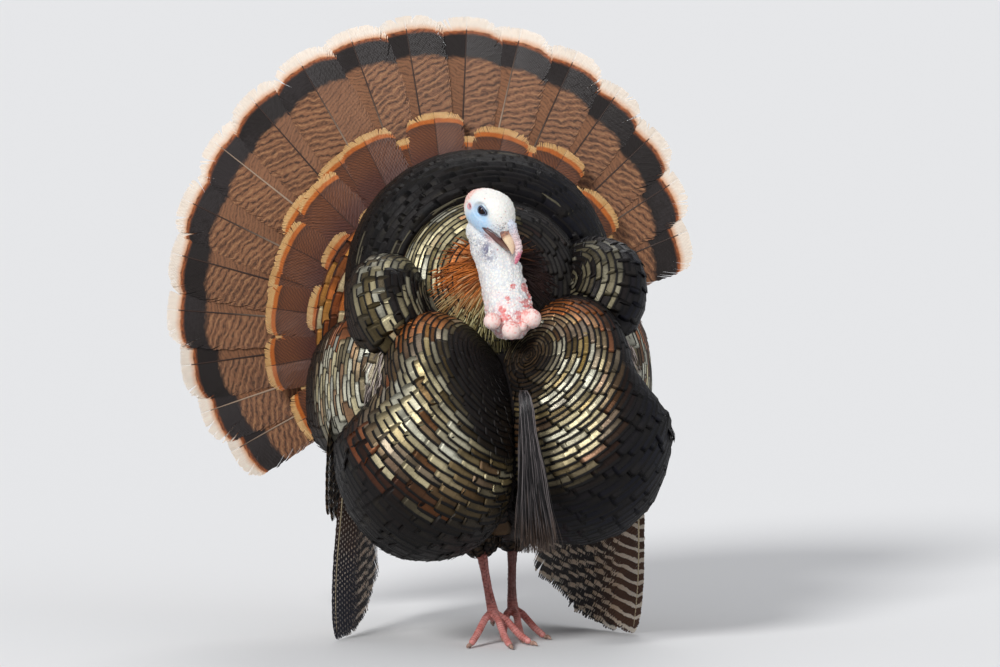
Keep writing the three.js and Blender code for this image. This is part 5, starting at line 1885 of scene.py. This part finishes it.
def leg_finish():
    f = Finish("leg_scutes")
    groove, behind, web = f.parts("scute")
    x, _, z = f.parts("leg")
    blotch = f.clouds(0.009, 3.0)
    fine = f.clouds(0.0014, 3.0, roughness=0.6)
    grains = f.cells(0.0022)
    plate = f.mix(colour(218, 150, 144), colour(184, 104, 96), (blotch * 3.0 + 0.5).clamped())
    plate = f.mix(plate, colour(150, 92, 74), z.between(80.0, 130.0) * 0.5)
    plate = f.mix(plate, colour(226, 164, 154), web * 0.7)
    cracks = groove * 0.85 + behind * (1.0 - grains.between(0.2, 0.5)) * 0.3
    dark = f.mix(plate, colour(104, 56, 46), cracks.clamped())
    # Painted shade: the left shank is darkened above its foot, where the body shades it.
    left = x.between(14.0, 24.0) * z.between(28.0, 60.0)
    whole = f.tinted(f.mix(dark, colour(74, 52, 46), left * 0.72), 1.0 + fine * 0.45)
    return f.surface(Base_Color=whole, Roughness=0.44 + fine * 0.25 + groove * 0.2, Specular_IOR_Level=0.5,
                     Normal=f.bump(fine * 0.6 - grains * behind * 0.8 - groove * 0.4, 0.0007, 0.6))


def whole_skin():
    """One skin: body under the coat, bare head and neck, and scaled legs."""
    head = head_form()
    sculpt_head(head)
    tree = tree_of(head)
    rims, legs = lids(), leg_skin()
    finishes = under_finish(), bare_finish(), leg_finish()
    whole = bmesh.new()
    for piece, finish, room in (
            (body, 0, ((0.02, 0.02), (0.30, 0.30))), (head, 1, ((0.34, 0.02), (0.99, 0.99))),
            (rims, 1, ((0.02, 0.92), (0.10, 0.99))), (legs, 2, ((0.02, 0.34), (0.31, 0.90)))):
        points = read(piece, "co")
        figure = measured(points)
        for name, size in (("tone", 4), ("marks", 3), ("scute", 3), ("leg", 3)):
            if name not in piece.data.attributes:
                give(piece, name, np.zeros((len(points), size)))
        if piece is head:
            middle_line = spline(NECK + [[-15, -138, 590, 10]], 300)
            row = np.array([middle_line[np.argmin(np.abs(middle_line[:, 2] - z))] for z in figure[:, 2]])
            turn = np.arctan2(figure[:, 0] - row[:, 0], -(figure[:, 1] - row[:, 1]))
            uv = columns(turn / (2 * math.pi) + 0.5, (figure[:, 2] - 398) / 200)
        elif piece is legs:
            uv = leg_map(figure)
        else:
            uv = round_map(points, points.mean(axis=0))
        give_map(piece, safe_map(piece, np.clip(uv, 0, 1), room))
        first = len(whole.faces)
        whole.from_mesh(piece.data)
        whole.faces.ensure_lookup_table()
        for face in whole.faces[first:]:
            face.material_index = finish
            face.smooth = True
    mesh = bpy.data.meshes.new("skin")
    for finish in finishes:
        mesh.materials.append(finish)
    whole.to_mesh(mesh)
    whole.free()
    old = body.data
    body.data = mesh
    bpy.data.meshes.remove(old)
    for piece in (head, rims, legs):
        bpy.data.objects.remove(piece)
    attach(body, "root")
    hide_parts(*FEATHERED, "head", "neck", "leg_left", "leg_right")
    return tree


def under_finish():
    """What lies under the feathers: dark down, in the coat's own deep tones."""
    f = Finish("down")
    lumps = f.clouds(0.012, 3.0)
    fluff = f.clouds(0.0015, 3.0, roughness=0.7)
    tone = f.mix(colour(11, 9, 10), colour(26, 21, 20), (lumps * 1.6 + 0.5).clamped())
    return f.surface(Base_Color=f.tinted(tone, 1.0 + fluff), Roughness=0.85, Specular_IOR_Level=0.15,
                     Normal=f.bump(fluff, 0.001, 0.8))


# ---- beard, claws and spurs
BEARD = [
    (2, -262, 344, 4), (2, -272, 330, 8), (4, -279, 290, 11), (9, -277, 245, 16), (13, -272, 200, 21),
    (18, -265, 160, 26), (20, -261, 136, 28),
]


def beard():
    """A hanging brush of long bristles that spreads towards its end."""
    count, levels, around = 760, 9, 4
    path = spline(BEARD, 120)
    spread = rng.uniform(-1, 1, (count, 2))
    spread = spread * np.sqrt(rng.uniform(0.2, 1, (count, 1)))
    end = np.clip(rng.normal(0.91, 0.08, count), 0.55, 1.0)
    drift = rng.normal(0, 3.4, (count, 2))
    kink = rng.uniform(0, 6.28, (count, 2))
    t = np.linspace(0, 1, levels)
    spine = np.zeros((count, levels, 3))
    last = len(path) - 1
    for k in range(levels):
        place = end * t[k] * last
        low = np.minimum(place.astype(int), last - 1)
        row = lerp(path[low], path[low + 1], (place - low)[:, None])
        wave = np.sin(kink + t[k] * 14) * 0.8
        spine[:, k] = row[:, :3]
        spine[:, k, 0] += spread[:, 0] * row[:, 3] + drift[:, 0] * t[k] ** 2 + wave[:, 0]
        spine[:, k, 1] += spread[:, 1] * (2.5 + row[:, 3] * 0.24) + drift[:, 1] * 0.4 * t[k] ** 2 + wave[:, 1] * 0.5
    along = unit(np.gradient(spine, axis=1))
    side = unit(np.cross(along, [0.0, 1.0, 0.0]))
    rings = rings_about(spine, 0.42 * (1 - 0.7 * t ** 3), side * 1.3, np.cross(side, along), around)
    size = levels * around
    made = mesh_object("beard_strands", put(rings.reshape(-1, 3)), copies(tube_faces(levels, around), size, count))
    seed = np.repeat(rng.uniform(0, 1, count), size)
    height = np.tile(np.repeat(t, around), count)
    give(made, "strand", columns(seed, height, seed))
    f = Finish("beard_bristle")
    chance, down, _ = f.parts("strand")
    fine = f.clouds(0.003, 2.0)
    # Painted highlight: strands picked at random are pale grey, for the glints on them. Towards their ends strands
    # turn brown.
    tone = f.mix(colour(20, 17, 19), colour(120, 112, 112), chance.between(0.6, 1.0) * 0.8)
    tone = f.mix(tone, colour(120, 90, 66), down.between(0.75, 1.0) * chance * 0.7)
    material = f.surface(Base_Color=f.tinted(tone, 1.0 + fine * 0.5), Roughness=0.36, Specular_IOR_Level=0.6)
    across = (np.repeat(np.arange(count), size) + np.tile(np.arange(around) / around * 0.8, levels * count)) / count
    give_map(made, columns(across, height)[corners_of(made)])
    keep(made, material, "beard_bristle", "beard")


def claws():
    f = Finish("claw_horn")
    grain = f.clouds(0.002, 3.0, roughness=0.6)
    blotch = f.clouds(0.006, 2.0)
    tone = f.mix(colour(196, 158, 140), colour(112, 84, 74), (blotch * 2.5 + 0.5).clamped())
    material = f.surface(Base_Color=f.tinted(tone, 1.0 + grain * 0.5), Roughness=0.35,
                         Normal=f.bump(grain, 0.0004, 0.5))
    names = [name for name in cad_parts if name.startswith(("claw_", "spur_"))]
    form = copied(names)
    bmesh.ops.subdivide_edges(form, edges=form.edges, cuts=2, use_grid_fill=True, smooth=0.6)
    bmesh.ops.smooth_vert(form, verts=form.verts, factor=0.4, use_axis_x=True, use_axis_y=True, use_axis_z=True)
    made = from_form("claws", form)
    give_map(made, np.clip(leg_map(measured(read(made, "co"))), 0, 1)[corners_of(made)])
    keep(made, material, "claw_horn", *names)


head_tree = whole_skin()
eyes()
bill()
snood()
bristles(head_tree)
beard()
claws()


# ---- studio
# Each lamp's name, the way to it, its strength and its width in degrees.
SUNS = (("key", (-0.62, -0.72, 0.62), 2.3, 16), ("fill", (0.8, -0.6, 0.35), 0.4, 50),
        ("back", (0.2, 0.9, 0.8), 0.7, 30))
CAMERA_AWAY = 14.0
VIEW_WIDTH = 1.30                # how much the picture takes in at the figure, in metres
SENSOR = 36


def facing(thing, way):
    """Turns a lamp or a camera to look against a way."""
    thing.rotation_euler = (-Vector(way)).to_track_quat("-Z", "Y").to_euler()
    bpy.context.scene.collection.objects.link(thing)


def studio():
    """The camera, three lamps, a floor and an even sky."""
    scene = bpy.context.scene
    scene.view_settings.view_transform = "Standard"
    azimuth, elevation = math.radians(-11), math.radians(5)
    right = Vector((math.cos(azimuth), math.sin(azimuth), 0))
    back = Vector((math.sin(azimuth), -math.cos(azimuth), math.tan(elevation))).normalized()
    aim = Vector(SHIFT) + right * 0.0216 + back.cross(right) * 0.393
    data = bpy.data.cameras.new("camera")
    data.lens = SENSOR * CAMERA_AWAY / VIEW_WIDTH
    data.clip_end = 60
    scene.camera = bpy.data.objects.new("camera", data)
    scene.camera.location = aim + back * CAMERA_AWAY
    facing(scene.camera, back)
    for name, way, strength, softness in SUNS:
        data = bpy.data.lights.new(name, "SUN")
        data.energy = strength
        data.angle = math.radians(softness)
        facing(bpy.data.objects.new(name, data), way)

    ground = Finish("studio_ground")
    seen = ground.node("ShaderNodeLightPath", output="Is Camera Ray")
    tone = ground.mix((0.62, 0.62, 0.62), (0.8, 0.8, 0.8), seen)
    form = bmesh.new()
    bmesh.ops.create_grid(form, x_segments=1, y_segments=1, size=60)
    floor = from_form("studio_floor", form, smooth=False)
    floor.data.materials.append(ground.surface(Base_Color=tone, Roughness=0.9))

    sky = Finish("studio", bpy.data.worlds)
    scene.world = sky.material
    seen = sky.node("ShaderNodeLightPath", output="Is Camera Ray")
    strength = sky.node("ShaderNodeMapRange", {}, {"Value": seen, "To Min": 0.42, "To Max": 0.9})
    light = sky.node("ShaderNodeBackground", {}, {"Color": (0.93, 0.95, 1.0), "Strength": strength})
    sky.node("ShaderNodeOutputWorld", {}, {"Surface": light}, output=None)


studio()
